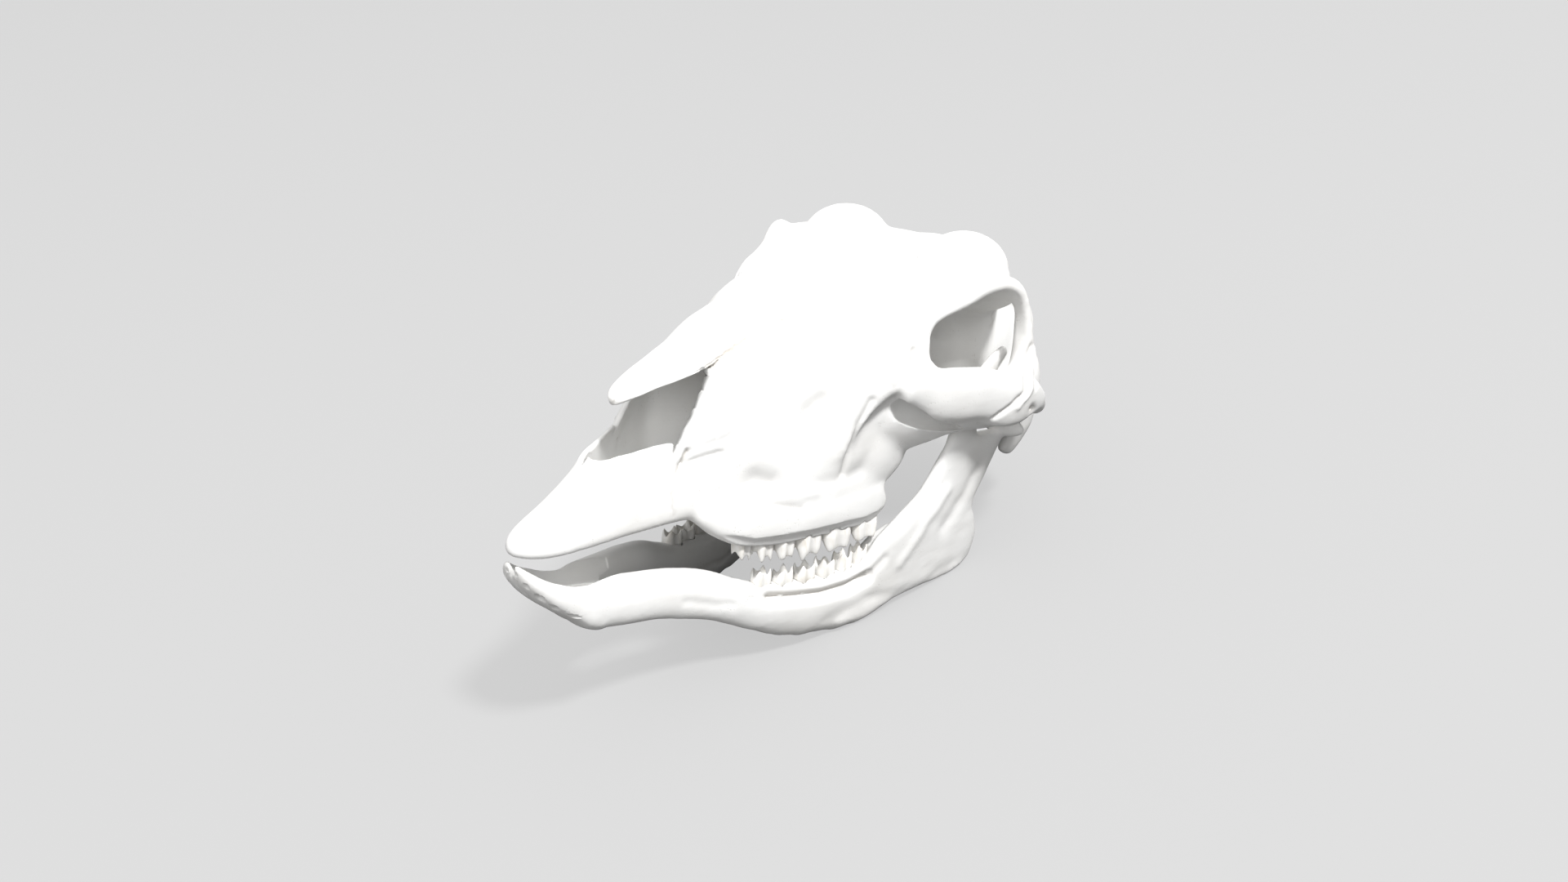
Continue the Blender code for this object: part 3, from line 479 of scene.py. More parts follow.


# The skin of the cranium: wavy seams where its plates meet, hollows, ridges and small holes for
# nerves and blood. The bone is dry and chalk white, darker in the seams where its plates meet, with
# painted shade darkening its grooves, dips, small holes and pores.

# Each stroke has its points, the side it is drawn from, half width, depth (less than nothing is a
# ridge), how far it weaves and over what length, and how dark it is: the dark joint of a seam, or
# painted shade in a groove, dip or hole.
SKULL_STROKES = [
    ([(0, 38, 82), (0, 75, 99), (0, 119, 110)], (0, -0.4, 1), 0.6, 0.75, 0.15, 6, 0.5),
    ([(11.6, 62, 89.6), (12.1, 66.1, 92), (12.2, 74.2, 96.6), (12.2, 82.5, 100.1)],
     (0.6, -0.4, 0.7), 0.75, 1.3, 0.35, 4, 1.0),
    ([(12.2, 82.5, 100.1), (12.5, 93.9, 103.5), (13.2, 98.6, 104.5), (14.5, 104.7, 106),
      (15, 108.7, 106.8), (14.3, 111.7, 107.5), (15.1, 115.4, 108.4)],
     (0.5, -0.4, 0.8), 0.6, 0.6, 0.4, 3.5, 0.6),
    ([(15.1, 115.4, 108.4), (12.5, 119, 109.4), (7.5, 123, 111.4), (3, 121, 110.9),
      (0, 119, 110.4)], (0.1, -0.4, 0.9), 0.6, 0.6, 0.5, 3, 0.5),
    ([(0, 119, 110), (0, 150, 121), (0, 190, 120)], (0, -0.2, 1), 0.6, 0.6, 0.7, 4, 0.5),
    ([(0, 190, 120), (9, 191.5, 119.5), (17, 192, 117.5), (24.5, 190.5, 112), (30, 187, 104),
      (32, 183, 97)], (0.5, 0.3, 0.8), 0.5, 0.45, 0.6, 4.2, 0.35),
    ([(0, 213, 108), (11, 212, 106), (20, 208.5, 100), (27, 203.5, 92), (30, 200, 84)],
     (0.3, 0.7, 0.6), 0.55, 0.5, 0.6, 4.4, 0.35),
    ([(15.1, 115.4, 108.4), (22, 116.5, 108.6), (30, 119.5, 107.5), (37, 125, 105.5),
      (41.5, 130, 104)], (0.4, -0.2, 0.9), 0.6, 0.3, 0.5, 5, 0.15),
    ([(25, 117, 108.6), (32, 112.5, 101.5), (36.5, 110, 93), (39, 112.5, 87), (41.8, 119, 86),
      (43.6, 127, 87.6)], (0.8, -0.4, 0.4), 0.6, 0.15, 0.4, 6, 0),
    ([(18, 54.6, 68), (17.4, 53, 63.6), (16.9, 52, 61)], (1, -0.3, 0.1), 0.7, 1.4, 0.1, 4, 0.8),
    ([(16.9, 52, 61), (15.8, 50.5, 53.5), (14.8, 52, 47)], (1, -0.3, 0.1), 0.5, 0.2, 0.3, 4, 0.3),
    ([(58, 172, 97), (58, 169.3, 91), (56.5, 169, 82), (54.2, 158, 74)], (1, 0, -0.1),
     1.0, 1.1, 0.2, 7, 0.25),
    ([(58, 174.6, 96), (58.6, 172.2, 90), (57.5, 172.4, 83), (56, 167, 77)], (1, 0, -0.1),
     1.0, -0.7, 0.2, 7, 0),
    ([(58, 177, 93), (58.6, 175, 88), (57.5, 175.4, 83)], (1, 0, -0.1), 1.0, 0.7, 0.2, 7, 0.15),
    # Dips, lines, grooves and holes of the face, eye and arch: the darkness given them is painted
    # shade.
    ([(31.4, 92.6, 78.6), (32.6, 96.6, 81.8)], (0.9, -0.4, 0.2), 3.4, 1.2, 0, 5, 0.12),
    ([(26.4, 76.6, 57.2), (28, 81, 55.6)], (0.8, -0.6, 0), 3.8, 1.4, 0, 5, 0.1),
    ([(27.4, 78.6, 50.4), (30.6, 86, 48.4), (33, 92, 46.8)], (0.8, -0.4, -0.2),
     1.1, 0.45, 0, 5, 0.15),
    ([(25, 80, 53.4), (30, 88, 52), (33, 97, 51.6)], (0.8, -0.4, 0), 1.8, -0.4, 0, 5, 0),
    ([(43.9, 126.4, 97.6), (44, 126, 93.2)], (0.9, -0.4, 0.1), 1.2, 1.3, 0, 5, 0.25),
    ([(44, 128, 91), (44.6, 129.4, 89)], (0.9, -0.4, 0.1), 1.4, 0.7, 0, 5, 0.1),
    ([(19.6, 151, 121.6), (18.6, 143, 119.4), (17.6, 133, 115.4)], (0.1, -0.3, 1),
     1.1, 0.7, 0.3, 9, 0.3),
    ([(45, 172, 121), (38, 180, 116), (31.5, 190, 110), (26, 200, 103)], (0.7, 0.2, 0.6),
     1.3, -0.5, 0.4, 11, 0),
    ([(58, 175.5, 75), (58, 176.8, 74)], (1, 0, 0), 1.6, 1.2, 0, 5, 0.4),
    ([(38.6, 111.4, 82), (36, 108, 74), (34, 107.4, 64), (31.6, 106.8, 56)], (0.9, 0.3, 0),
     1.1, 0.9, 0, 9, 0.1),
    ([(0, 12, 39), (0, 60, 41), (0, 118, 45)], (0, 0, -1), 0.6, 0.7, 0.3, 5, 0.5),
    ([(0, 118, 46), (6, 118.4, 46), (12, 116, 45), (19, 119, 42)], (0, 0, -1),
     0.55, 0.5, 0.4, 3.4, 0.4),
    # A groove along the palate: its darkness is painted shade.
    ([(11.6, 58, 42), (12.5, 84, 42.5), (12, 108, 44)], (0, 0, -1), 1.6, 0.9, 0.4, 16, 0.1),
    ([(3.6, 30, 40), (4, 60, 41)], (0, 0, -1), 1.5, 0.5, 0, 16, 0),
    # A groove beside the neck knuckle: its darkness is painted shade.
    ([(10, 219, 66), (6, 216.4, 63)], (0.1, 0.4, -0.9), 1.2, 0.6, 0, 5, 0.3),
    ([(0, 150, 62), (0, 205, 57)], (0, 0, -1), 1.4, -0.6, 0, 12, 0),
    ([(0, 196, 58), (9, 196.4, 58)], (0, 0, -1), 0.5, 0.5, 0.2, 4, 0.4),
    ([(11, 214, 100), (13, 218, 86)], (0.2, 1, 0.1), 2.6, 0.6, 0, 9, 0),
    ([(0, 217, 101), (0, 222, 84)], (0, 1, 0.1), 1.6, -0.7, 0, 9, 0),
    # A fold in the nose: its darkness is painted shade.
    ([(13, 54, 62), (14, 66, 64.6), (16, 84, 68)], (1, -0.4, 0.3), 1.1, 1.0, 0.3, 14, 0.15),
    ([(13, 56, 68), (14, 66, 71), (16, 84, 76)], (1, -0.4, 0.3), 1.4, -0.6, 0.3, 14, 0),
    ([(14, 50, 60), (13, 44, 54)], (-1, 0, 0), 2.2, 0.5, 0.4, 16, 0),
    ([(17, 62, 70), (16, 56, 60)], (-1, 0, 0), 2.2, 0.6, 0.4, 16, 0)]
# The small holes are egg-shaped pits: centre, half sizes and turn about x in degrees.
SKULL_HOLES = [
    ((12.6, 97.4, 103.8), (0.5, 1.5, 1.3), 15), ((14.5, 106.9, 106.2), (0.5, 1.2, 1.2), 15),
    ((14.6, 112.6, 107.8), (0.5, 1.0, 1.2), 15), ((12.0, 64.0, 90.8), (1.3, 1.5, 1.5), 30),
    ((19.6, 151.4, 121), (1.2, 1.6, 3), 0), ((24.5, 156, 126), (0.7, 0.8, 2.4), 0),
    ((4.6, 20, 38.5), (1.9, 7.5, 3.4), 0), ((12, 110, 43.5), (1.3, 2, 3.4), 0),
    ((21, 160, 90), (3.2, 1.9, 1.9), 0), ((20.5, 153, 82), (3, 1.7, 3.4), 0),
    ((57.6, 176.4, 75), (1.2, 0.9, 0.9), 0), ((10.2, 213.6, 61), (1.3, 1.6, 3), 0),
    ((38.6, 203, 71), (2.4, 1.9, 1.9), 0), ((22.5, 181, 57), (2, 3, 3), 0)]
SKULL_FACES = 196000
SKULL_WAVES = 0.16
SKULL_SEED = 3
BONE_PALE = (0.80, 0.797, 0.785, 1)
BONE_WARM = (0.75, 0.742, 0.722, 1)
# The darkest tone: the dark joints of the seams, and painted shade in grooves, dips, holes and
# pores.
BONE_SEAM_AND_SHADE = (0.45, 0.42, 0.38, 1)


def unit(direction):
    """The direction at length one."""
    d = np.array(direction, float)
    return d / np.linalg.norm(d)


def stroke(v, normal, row):
    """How strong a stroke is at each point: exp(-(d/width)^2), where d is the distance to the line
    seen from the stroke's side, bent by two sines, and it fades where the skin turns away."""
    path, facing, width, _, weave, length, _ = row
    face = unit(facing)
    p = np.abs(v * (1, 0, 0)) + v * (0, 1, 1)
    lean = (normal * np.column_stack([np.sign(v[:, 0] + 1e-9), np.ones((len(v), 2))])) @ face
    path = np.array(path, float)
    margin = 3 * width + weave + 9
    close = np.all((p > path.min(0) - margin) & (p < path.max(0) + margin), axis=1) & (lean > 0.1)
    q = p[close]
    best = np.full(len(q), 1e9)
    so_far = 0.0
    for a, b in zip(path[:-1], path[1:]):
        run = (b - a) - (b - a) @ face * face
        size = np.linalg.norm(run)
        off = q - a
        t = np.clip(off @ run / size**2, 0, 1)
        off = off - t[:, None] * (b - a)
        high = off @ face
        s = (so_far + t * size) * 2 * np.pi / length
        bend = weave * (np.sin(s) + 0.6 * np.sin(1.64 * s + 1.3)) / 1.3
        flat = off - high[:, None] * face - bend[:, None] * np.cross(face, run / size)
        d = np.linalg.norm(flat, axis=1) + 2 * np.clip(np.abs(high) - 8, 0, None)
        best = np.minimum(best, d)
        so_far += size
    strength = np.zeros(len(v))
    strength[close] = np.exp(-(best / width) ** 2) * np.clip((lean[close] - 0.1) / 0.35, 0, 1)
    return strength


def growth(v, seed):
    """Slow waves in drawn directions, the long ones highest: sum of L^0.8 sin(2 pi v.way / L)."""
    draw = np.random.default_rng(seed)
    total, most = np.zeros(len(v)), 0.0
    for length in np.geomspace(24, 3.2, 16):
        way = unit(draw.normal(size=3))
        total += length**0.8 * np.sin(2 * np.pi * (v @ way) / length + draw.uniform(0, 6.3))
        most += length**0.8
    return total / most


def points_and_normals(obj):
    """The object's points and their normals, in millimetres."""
    n = np.empty(len(obj.data.vertices) * 3, np.float32)
    obj.data.vertex_normals.foreach_get("vector", n)
    return points_of(obj) / MM, n.reshape(-1, 3).astype(float)


def moved(obj, v):
    """Puts the object's points where v says, in metres."""
    obj.data.vertices.foreach_set("co", v.astype(np.float32).ravel())
    obj.data.update()


def carved(obj, strokes, waves, seed):
    """Moves each point in along its normal by the strokes' depths, and by the waves of growth."""
    v, n = points_and_normals(obj)
    depth = waves * growth(v, seed)
    for row in strokes:
        depth += row[3] * stroke(v, n, row)
    moved(obj, (v - depth[:, None] * n) * MM)


def seams_and_shade_marked(obj, strokes):
    """Keeps how dark each point's darkest stroke is, 0 to 1: dark joints of seams, painted shade in
    grooves and holes.
    """
    v, n = points_and_normals(obj)
    dark = np.zeros(len(v))
    for row in strokes:
        if row[6] > 0:
            dark = np.maximum(dark, row[6] * stroke(v, n, row))
    seam_and_shade = obj.data.attributes.new("seam_and_shade", "FLOAT", "POINT")
    seam_and_shade.data.foreach_set("value", dark.astype(np.float32))


def thinned(obj, triangles):
    """Collapses the least useful edges until about this many triangles are left."""
    count = sum(len(p.vertices) - 2 for p in obj.data.polygons)
    if count > triangles:
        thin = obj.modifiers.new("thin", "DECIMATE")
        thin.ratio = triangles / count
        settle(obj)


def fed(links, entry, given):
    """Feeds a node's entry: a constant is written on it, and another node's output is joined."""
    if isinstance(given, (int, float, tuple)):
        entry.default_value = given
    else:
        links.new(given, entry)


def ranged(nodes, links, value, low, high, first=0, last=1):
    """The range low to high of a value laid evenly on first to last."""
    span = nodes.new("ShaderNodeMapRange")
    for name, given in (("Value", value), ("From Min", low), ("From Max", high),
                        ("To Min", first), ("To Max", last)):
        fed(links, span.inputs[name], given)
    return span.outputs["Result"]


def worked(nodes, links, operation, first, second):
    """What an operation gives for two values."""
    work = nodes.new("ShaderNodeMath")
    work.operation = operation
    fed(links, work.inputs[0], first)
    fed(links, work.inputs[1], second)
    return work.outputs["Value"]


def mixed(nodes, links, factor, first, second):
    """A colour mix, from the first to the second by the factor: entries 0, 6 and 7 of the node."""
    mix = nodes.new("ShaderNodeMix")
    mix.data_type = "RGBA"
    for place, given in ((0, factor), (6, first), (7, second)):
        fed(links, mix.inputs[place], given)
    return mix.outputs[2]


def clouded(nodes, links, scale, detail, stretch=(1, 1, 1)):
    """Cloud noise in the piece's own place, drawn out where a part of the stretch is below one."""
    place = nodes.new("ShaderNodeTexCoord")
    drawn = nodes.new("ShaderNodeMapping")
    drawn.inputs["Scale"].default_value = stretch
    links.new(place.outputs["Object"], drawn.inputs["Vector"])
    cloud = nodes.new("ShaderNodeTexNoise")
    cloud.inputs["Detail"].default_value = detail
    fed(links, cloud.inputs["Scale"], scale)
    links.new(drawn.outputs["Vector"], cloud.inputs["Vector"])
    return cloud.outputs["Fac"]


def grain_group():
    """Mottle: slow clouds. Pits: specks of a fine cell pattern where a second cloud is high.
    Height: fine fibres and grain less the pits. All are read in the piece's own place."""
    group = bpy.data.node_groups.new("mineral_grain", "ShaderNodeTree")
    for name, value in (("Cloud Scale", 40), ("Fibre Scale", 420), ("Pit Scale", 900),
                        ("Pit Share", 0.5)):
        entry = group.interface.new_socket(name, in_out="INPUT", socket_type="NodeSocketFloat")
        entry.default_value = value
    for name in ("Mottle", "Pits", "Height"):
        group.interface.new_socket(name, in_out="OUTPUT", socket_type="NodeSocketFloat")
    nodes, links = group.nodes, group.links
    given, out = nodes.new("NodeGroupInput").outputs, nodes.new("NodeGroupOutput").inputs
    place = nodes.new("ShaderNodeTexCoord")
    cells = nodes.new("ShaderNodeTexVoronoi")
    links.new(place.outputs["Object"], cells.inputs["Vector"])
    links.new(given["Pit Scale"], cells.inputs["Scale"])
    dots = ranged(nodes, links, cells.outputs["Distance"], 0.1, 0.32, 1, 0)
    patch = clouded(nodes, links, scale=130, detail=2)
    pits = worked(nodes, links, "MULTIPLY", dots,
                  ranged(nodes, links, patch, given["Pit Share"], 0.75))
    fibre = clouded(nodes, links, given["Fibre Scale"], 3, (1, 0.3, 1))
    links.new(clouded(nodes, links, given["Cloud Scale"], 5), out["Mottle"])
    links.new(pits, out["Pits"])
    links.new(worked(nodes, links, "SUBTRACT", fibre, pits), out["Height"])
    return group


def new_finish(name, grain, settings):
    """A material that holds the grain's group with these settings: the material, its nodes and
    links, and what the group gives."""
    finish = bpy.data.materials.new(name)
    finish.use_nodes = True
    nodes, links = finish.node_tree.nodes, finish.node_tree.links
    surface = nodes.new("ShaderNodeGroup")
    surface.node_tree = grain
    for entry, value in settings:
        surface.inputs[entry].default_value = value
    return finish, nodes, links, surface.outputs


def coated(nodes, links, colour, mottle, smooth, rough, height, strength, depth):
    """Gives the surface its colour, a roughness from smooth to rough by the mottle, and a bump of
    some strength and depth in metres by the height."""
    shader = nodes["Principled BSDF"].inputs
    links.new(colour, shader["Base Color"])
    links.new(ranged(nodes, links, mottle, 0, 1, smooth, rough), shader["Roughness"])
    bump = nodes.new("ShaderNodeBump")
    bump.inputs["Strength"].default_value = strength
    bump.inputs["Distance"].default_value = depth
    links.new(height, bump.inputs["Height"])
    links.new(bump.outputs["Normal"], shader["Normal"])


def bone_finish(name, grain, cloud_scale, pit_share):
    """Chalky bone: two tones by the clouds, rough, with a fine grain; darker in the seams, and
    painted shade in the pores, grooves and holes.
    """
    finish, nodes, links, surface = new_finish(
        name, grain, (("Cloud Scale", cloud_scale), ("Pit Share", pit_share)))
    # The strokes' darkness: dark joints in the seams, painted shade in the grooves, dips and holes.
    seam_and_shade = nodes.new("ShaderNodeAttribute")
    seam_and_shade.attribute_name = "seam_and_shade"
    # Painted shade in the pores: the pits' colour is darkened.
    painted_pore_shade = worked(nodes, links, "MULTIPLY", surface["Pits"], 0.35)
    darker = worked(nodes, links, "MAXIMUM", seam_and_shade.outputs["Fac"], painted_pore_shade)
    spread = ranged(nodes, links, surface["Mottle"], 0.38, 0.68)
    tone = mixed(nodes, links, spread, BONE_PALE, BONE_WARM)
    colour = mixed(nodes, links, darker, tone, BONE_SEAM_AND_SHADE)
    coated(nodes, links, colour, surface["Mottle"], smooth=0.46, rough=0.66,
           height=surface["Height"], strength=0.35, depth=0.0002)
    return finish


def finished(obj, name, node, finish):
    """Names the piece, puts it in its place, gives it its finish, hangs it under the root body and
    hides the imported part it stands in for.
    """
    obj.name = name
    obj.data.polygons.foreach_set("use_smooth", np.ones(len(obj.data.polygons), bool))
    moved(obj, points_of(obj) @ TIP.T + HOME)
    obj.data.materials.clear()
    obj.data.materials.append(finish)
    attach(obj, "root")
    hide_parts(node)


carved(cranium, SKULL_STROKES, SKULL_WAVES, SKULL_SEED)
hollow(cranium, pair(*[knob(*hole, rows=10, around=14) for hole in SKULL_HOLES]))
thinned(cranium, SKULL_FACES)
seams_and_shade_marked(cranium, SKULL_STROKES)
grain = grain_group()
dry_bone = bone_finish("dry_bone", grain, cloud_scale=40, pit_share=0.52)
finished(cranium, "cranium_bone", "cranium", dry_bone)


# The lower jaw: two halves held together in front by cartilage, which is gone, so a hair-fine seam
# is left. Each is a deep bar with a broad thin plate behind it, a hooked tip and a joint knuckle.

JAW_FRONT = [
    (2.6, 36.8, 35.4, 33.4, 2.8, 2, 2), (3.6, 36.4, 34, 31, 5.3, 2.2, 2.4),
    (5.2, 35.6, 32.4, 28.6, 7.4, 2.2, 2.8), (7.2, 34.4, 30.6, 26.4, 9, 2.3, 3),
    (9.6, 33, 28.6, 24, 9.8, 2.4, 3), (12, 32, 26.8, 22, 10.3, 2.4, 3),
    (16, 30.6, 24, 19, 10.7, 2.5, 3), (21.5, 29, 20.5, 15.4, 11, 2.5, 3.2),
    (27, 28.4, 18, 11.6, 11.2, 2.5, 3.4), (32.5, 27.8, 17.4, 9.7, 10.8, 2.5, 3.4),
    (36.5, 26, 17.4, 10.4, 9.4, 2.5, 3), (40, 23, 17.6, 13, 6.5, 2.4, 2.4)]
# The bar's rows end with how far out its middle runs.
JAW_BAR = [
    (25, 26.4, 19.5, 14, 3.4, 2.3, 2.2, 5.8), (29, 27.6, 19.2, 12.2, 4.2, 2.3, 2.2, 6.2),
    (34, 28, 19, 10.8, 4.7, 2.3, 2.2, 7), (41, 27.8, 19, 10.6, 4.6, 2.3, 2.2, 8.6),
    (50, 27.6, 18.8, 10.6, 4.4, 2.3, 2.2, 10.6), (60, 26.8, 17.8, 9.4, 4.5, 2.3, 2.2, 13),
    (70, 24.6, 16, 7.6, 4.8, 2.3, 2.2, 15.8), (78, 21.4, 14.2, 4.8, 5.2, 2.4, 2.1, 18.4),
    (86, 18.8, 12.4, 1.6, 5.8, 2.5, 2.1, 21), (96, 18.2, 12, -1.2, 6.2, 2.6, 2, 23.8),
    (106, 18.4, 12.2, -2.8, 6.4, 2.6, 2, 26.2), (116, 19.4, 13.4, -2.8, 6.3, 2.6, 2, 28.4),
    (122, 20.5, 14.4, -2, 6.1, 2.6, 2, 29.8), (127, 23.6, 16, -1, 5.8, 2.4, 2, 30.8),
    (132, 29.4, 17.5, 0.4, 5.4, 2.3, 2, 31.8), (138, 33, 19.5, 3, 4.6, 2.2, 2, 33)]
# Rows of the plate are z, front edge y, back edge y, centre x, half thickness and lean.
JAW_PLATE = [
    (-1.2, 115, 126, 29.8, 2.5, 0.12), (1.5, 113, 133, 30.8, 4, 0.12),
    (4.8, 114, 141, 31.6, 4.6, 0.11), (7.3, 115, 154, 32.4, 4.8, 0.1),
    (9, 117, 165, 33.3, 4.8, 0.09), (11, 119, 172.5, 34.1, 4.8, 0.07),
    (14.4, 121, 179.2, 34.9, 4.6, 0.05), (22, 124, 180.7, 36, 4.4, 0.04),
    (29, 128, 178.5, 36.8, 4.3, 0.03), (35, 135.3, 175.6, 37.5, 4.1, 0.02),
    (44, 145.6, 179, 38.5, 3.7, 0), (53, 150.9, 182.6, 39.6, 3.4, 0),
    (58, 153.2, 184.6, 40.4, 3.3, 0), (62, 155.6, 187, 41, 2.6, 0)]
JAW_HOOK = [
    (40.3, 162, 57, 8, 3.2), (40.8, 162.4, 66, 6.4, 2.8), (41.2, 163.6, 73.5, 5.4, 2.4),
    (41.8, 167.6, 81.5, 4.8, 2), (42.3, 173, 88, 3.6, 1.8), (42.6, 178, 92, 2, 1.5)]
# The hollow top of the joined front, and the broken row of incisor sockets round its edge.
JAW_TRAY = [
    (3.2, 45, 38, 35.4, 2.4, 2, 2), (5, 45, 37, 32.8, 5.4, 2, 2), (9, 45, 36, 29.4, 8, 2, 2),
    (14, 45, 34, 26.8, 9.2, 2, 2), (20, 45, 32, 24.8, 9.6, 2, 2), (27, 45, 31, 23.6, 9.2, 2, 2),
    (33, 45, 31, 22.8, 8.6, 2, 2), (39, 45, 31, 21.6, 8, 2, 2), (46, 45, 31, 20, 8, 2, 2)]
INCISOR_EDGE = [
    (0.2, 0.9, 34.4, 1.5, 1.5), (2.2, 1.2, 33.2, 2, 2), (4, 1.9, 31.8, 1.4, 1.4),
    (5.6, 3, 29.8, 2.2, 2.2), (7, 4.7, 27.8, 1.5, 1.5), (8.2, 6.9, 25.9, 2.3, 2.3),
    (9.1, 9.2, 24, 1.5, 1.5), (9.8, 11.8, 21.9, 2.2, 2.2), (10.3, 14.8, 20, 1.4, 1.4),
    (10.7, 18.2, 18.8, 1.4, 1.4), (11.2, 22, 18, 0.5, 0.5)]
HALF_SEAM = 0.16
SEAM_SPARE = 0.6
FAR_SIDE = -40
JAW_GROWTH = (0.75, 9)
BEYOND_SEAM = [(-20, -20), (70, -20), (70, 70), (-20, 70)]
JAW_KNUCKLE = ((41, 184.8, 63), (9, 4.2, 3.6))


def level(rows, count=80, around=72, n=2.7):
    """Ring at z: y = middle + s, s = reach sin(a)^(2/n), and x = centre + thickness cos(a)^(2/n)
    + lean s, so the plate can stand further out at its back."""
    z, r = eased(rows, count)
    front, back, centre, thick, lean = (c[:, None] for c in r.T)
    a = angles(around)[None, :]
    s = (back - front) / 2 * power(np.sin(a), 2 / n)
    x = centre + thick * power(np.cos(a), 2 / n) + lean * s
    y = (front + back) / 2 + s
    return skinned(np.stack([x, y, np.repeat(z[:, None], around, 1)], -1))


front_part = solid("jaw_front", [upright(JAW_FRONT, count=60, around=60)])
hollow(front_part, [slab(BEYOND_SEAM, FAR_SIDE, HALF_SEAM + SEAM_SPARE)])
front_skin = surface_of(front_part)
bpy.data.objects.remove(front_part)
jaw = solid("jaw_left_bone", [
    front_skin, upright(JAW_BAR, count=110, around=56), level(JAW_PLATE),
    knob(*JAW_KNUCKLE), carried(JAW_HOOK, up=(0, 1, -0.1), count=50)])
grown_together(jaw, *JAW_GROWTH)
hollow(jaw, [upright(JAW_TRAY, count=60, around=60), carried(INCISOR_EDGE, count=80, around=20),
             slab(BEYOND_SEAM, FAR_SIDE, HALF_SEAM)])


# The lower jaw's sockets and skin: pits for six cheek teeth, a long groove under them, the holes of
# the chin nerve, and the worn lower edge. The right half is the left one turned over.

LOWER_TEETH = [
    (84.4, 91.7, 21.6, 2.7, 18.2, 5.6, 5.0), (92.2, 99.6, 23.8, 2.9, 17.6, 5.6, 4.8),
    (100.1, 108.0, 25.8, 3.1, 17.8, 5.4, 5.8), (108.5, 115.6, 27.6, 3.2, 18.6, 5.8, 5.4),
    (116.1, 122.3, 29.0, 3.1, 19.6, 6.4, 5.6), (122.7, 128.6, 30.2, 2.9, 21.4, 6.2, 5.4)]
# The darkness of the jaw's strokes is painted shade, in the long groove under the teeth and the
# grooves beside it and inside.
JAW_STROKES = [
    ([(24, 89, 14.6), (26.6, 97, 13.8), (30, 108, 13.4), (32.4, 118, 14.4), (33.6, 125, 17)],
     (1, -0.2, 0.1), 2.0, 3.4, 0, 12, 0.45),
    ([(22, 82, 15), (33.6, 125, 17), (35, 131, 23)], (1, -0.2, 0.1), 1.6, 0.6, 0, 12, 0.1),
    ([(27, 94, 15.6), (31, 108, 15.4), (33.6, 118, 16.8), (35, 125, 19.4)], (1, -0.2, 0.3),
     1.0, -0.35, 0.1, 12, 0),
    ([(31, 112, 4), (33, 120, 5), (35, 130, 9)], (1, -0.2, -0.2), 3.2, 0.4, 0.3, 14, 0),
    ([(14, 60, 16.5), (19, 76, 13.5)], (1, -0.2, 0), 1.6, 0.35, 0.3, 12, 0),
    ([(36, 140, 6), (38, 154, 9), (39, 166, 14)], (1, 0, 0), 2.6, 0.4, 0.5, 16, 0),
    ([(36, 150, 3), (38, 162, 7), (39, 172, 13)], (1, 0, 0), 1.4, -0.3, 0.4, 9, 0),
    ([(37, 138, 20), (39, 146, 32), (41, 156, 44)], (1, 0, 0), 2.2, -0.6, 0.4, 14, 0),
    ([(40, 158, 30), (41, 166, 40), (42, 172, 50)], (1, 0, 0), 2.8, 0.6, 0.4, 16, 0),
    ([(30, 146, 12), (31, 158, 18)], (-1, 0, 0), 3.0, 0.7, 0.4, 16, 0),
    ([(22, 96, 6), (27, 116, 5.4), (29, 128, 9)], (-1, 0, 0), 1.6, 0.5, 0.3, 14, 0.1),
    ([(30, 128, 20), (33, 142, 30), (35, 152, 38)], (-1, 0, 0), 1.6, -0.5, 0.3, 12, 0)]
NERVE_HOLES = [((34.0, 152, 27), (2.6, 3, 1.6), 35)]
LOW_EDGE_TOP = 5.0
JAW_FACES = 110000
JAW_WAVES = 0.2
JAW_SEED = 8


def edge_worn(obj):
    """Knocks the lowest edge up and down: 0.5 mm of three sines along y, fading out upwards."""
    v, n = points_and_normals(obj)
    under = np.clip(-n[:, 2], 0, 1) * np.clip((LOW_EDGE_TOP - v[:, 2]) / 6, 0, 1)
    y = v[:, 1]
    v[:, 2] += under * (0.12 * np.sin(y / 1.9) + 0.1 * np.sin(y / 1.13 + 1) + 0.3 * np.sin(y / 4.1))
    moved(obj, v * MM)


hollow(jaw, [socket(row, 1) for row in LOWER_TEETH])
carved(jaw, JAW_STROKES, JAW_WAVES, JAW_SEED)
edge_worn(jaw)
hollow(jaw, [knob(*hole, rows=10, around=14) for hole in NERVE_HOLES])
thinned(jaw, JAW_FACES)
# The jaw's darkened strokes are all grooves: their darkness is painted shade.
seams_and_shade_marked(jaw, JAW_STROKES)
jaw_right = solid("jaw_right_bone", pair(surface_of(jaw))[1:])
seams_and_shade_marked(jaw_right, JAW_STROKES)
jaw_bone = bone_finish("jaw_bone", grain, cloud_scale=46, pit_share=0.55)
finished(jaw, "jaw_left_bone", "mandible_left", jaw_bone)
finished(jaw_right, "jaw_right_bone", "mandible_right", jaw_bone)


# The cheek teeth: six in each row, tall blocks of dentine under enamel that stand loosely in
# their sockets. The crowns have two lobes, each with sharp crescents round a hollow.

ENAMEL_PALE = (0.82, 0.81, 0.785, 1)
ENAMEL_ROOT = (0.72, 0.69, 0.63, 1)
ENAMEL_STAIN = (0.52, 0.46, 0.37, 1)


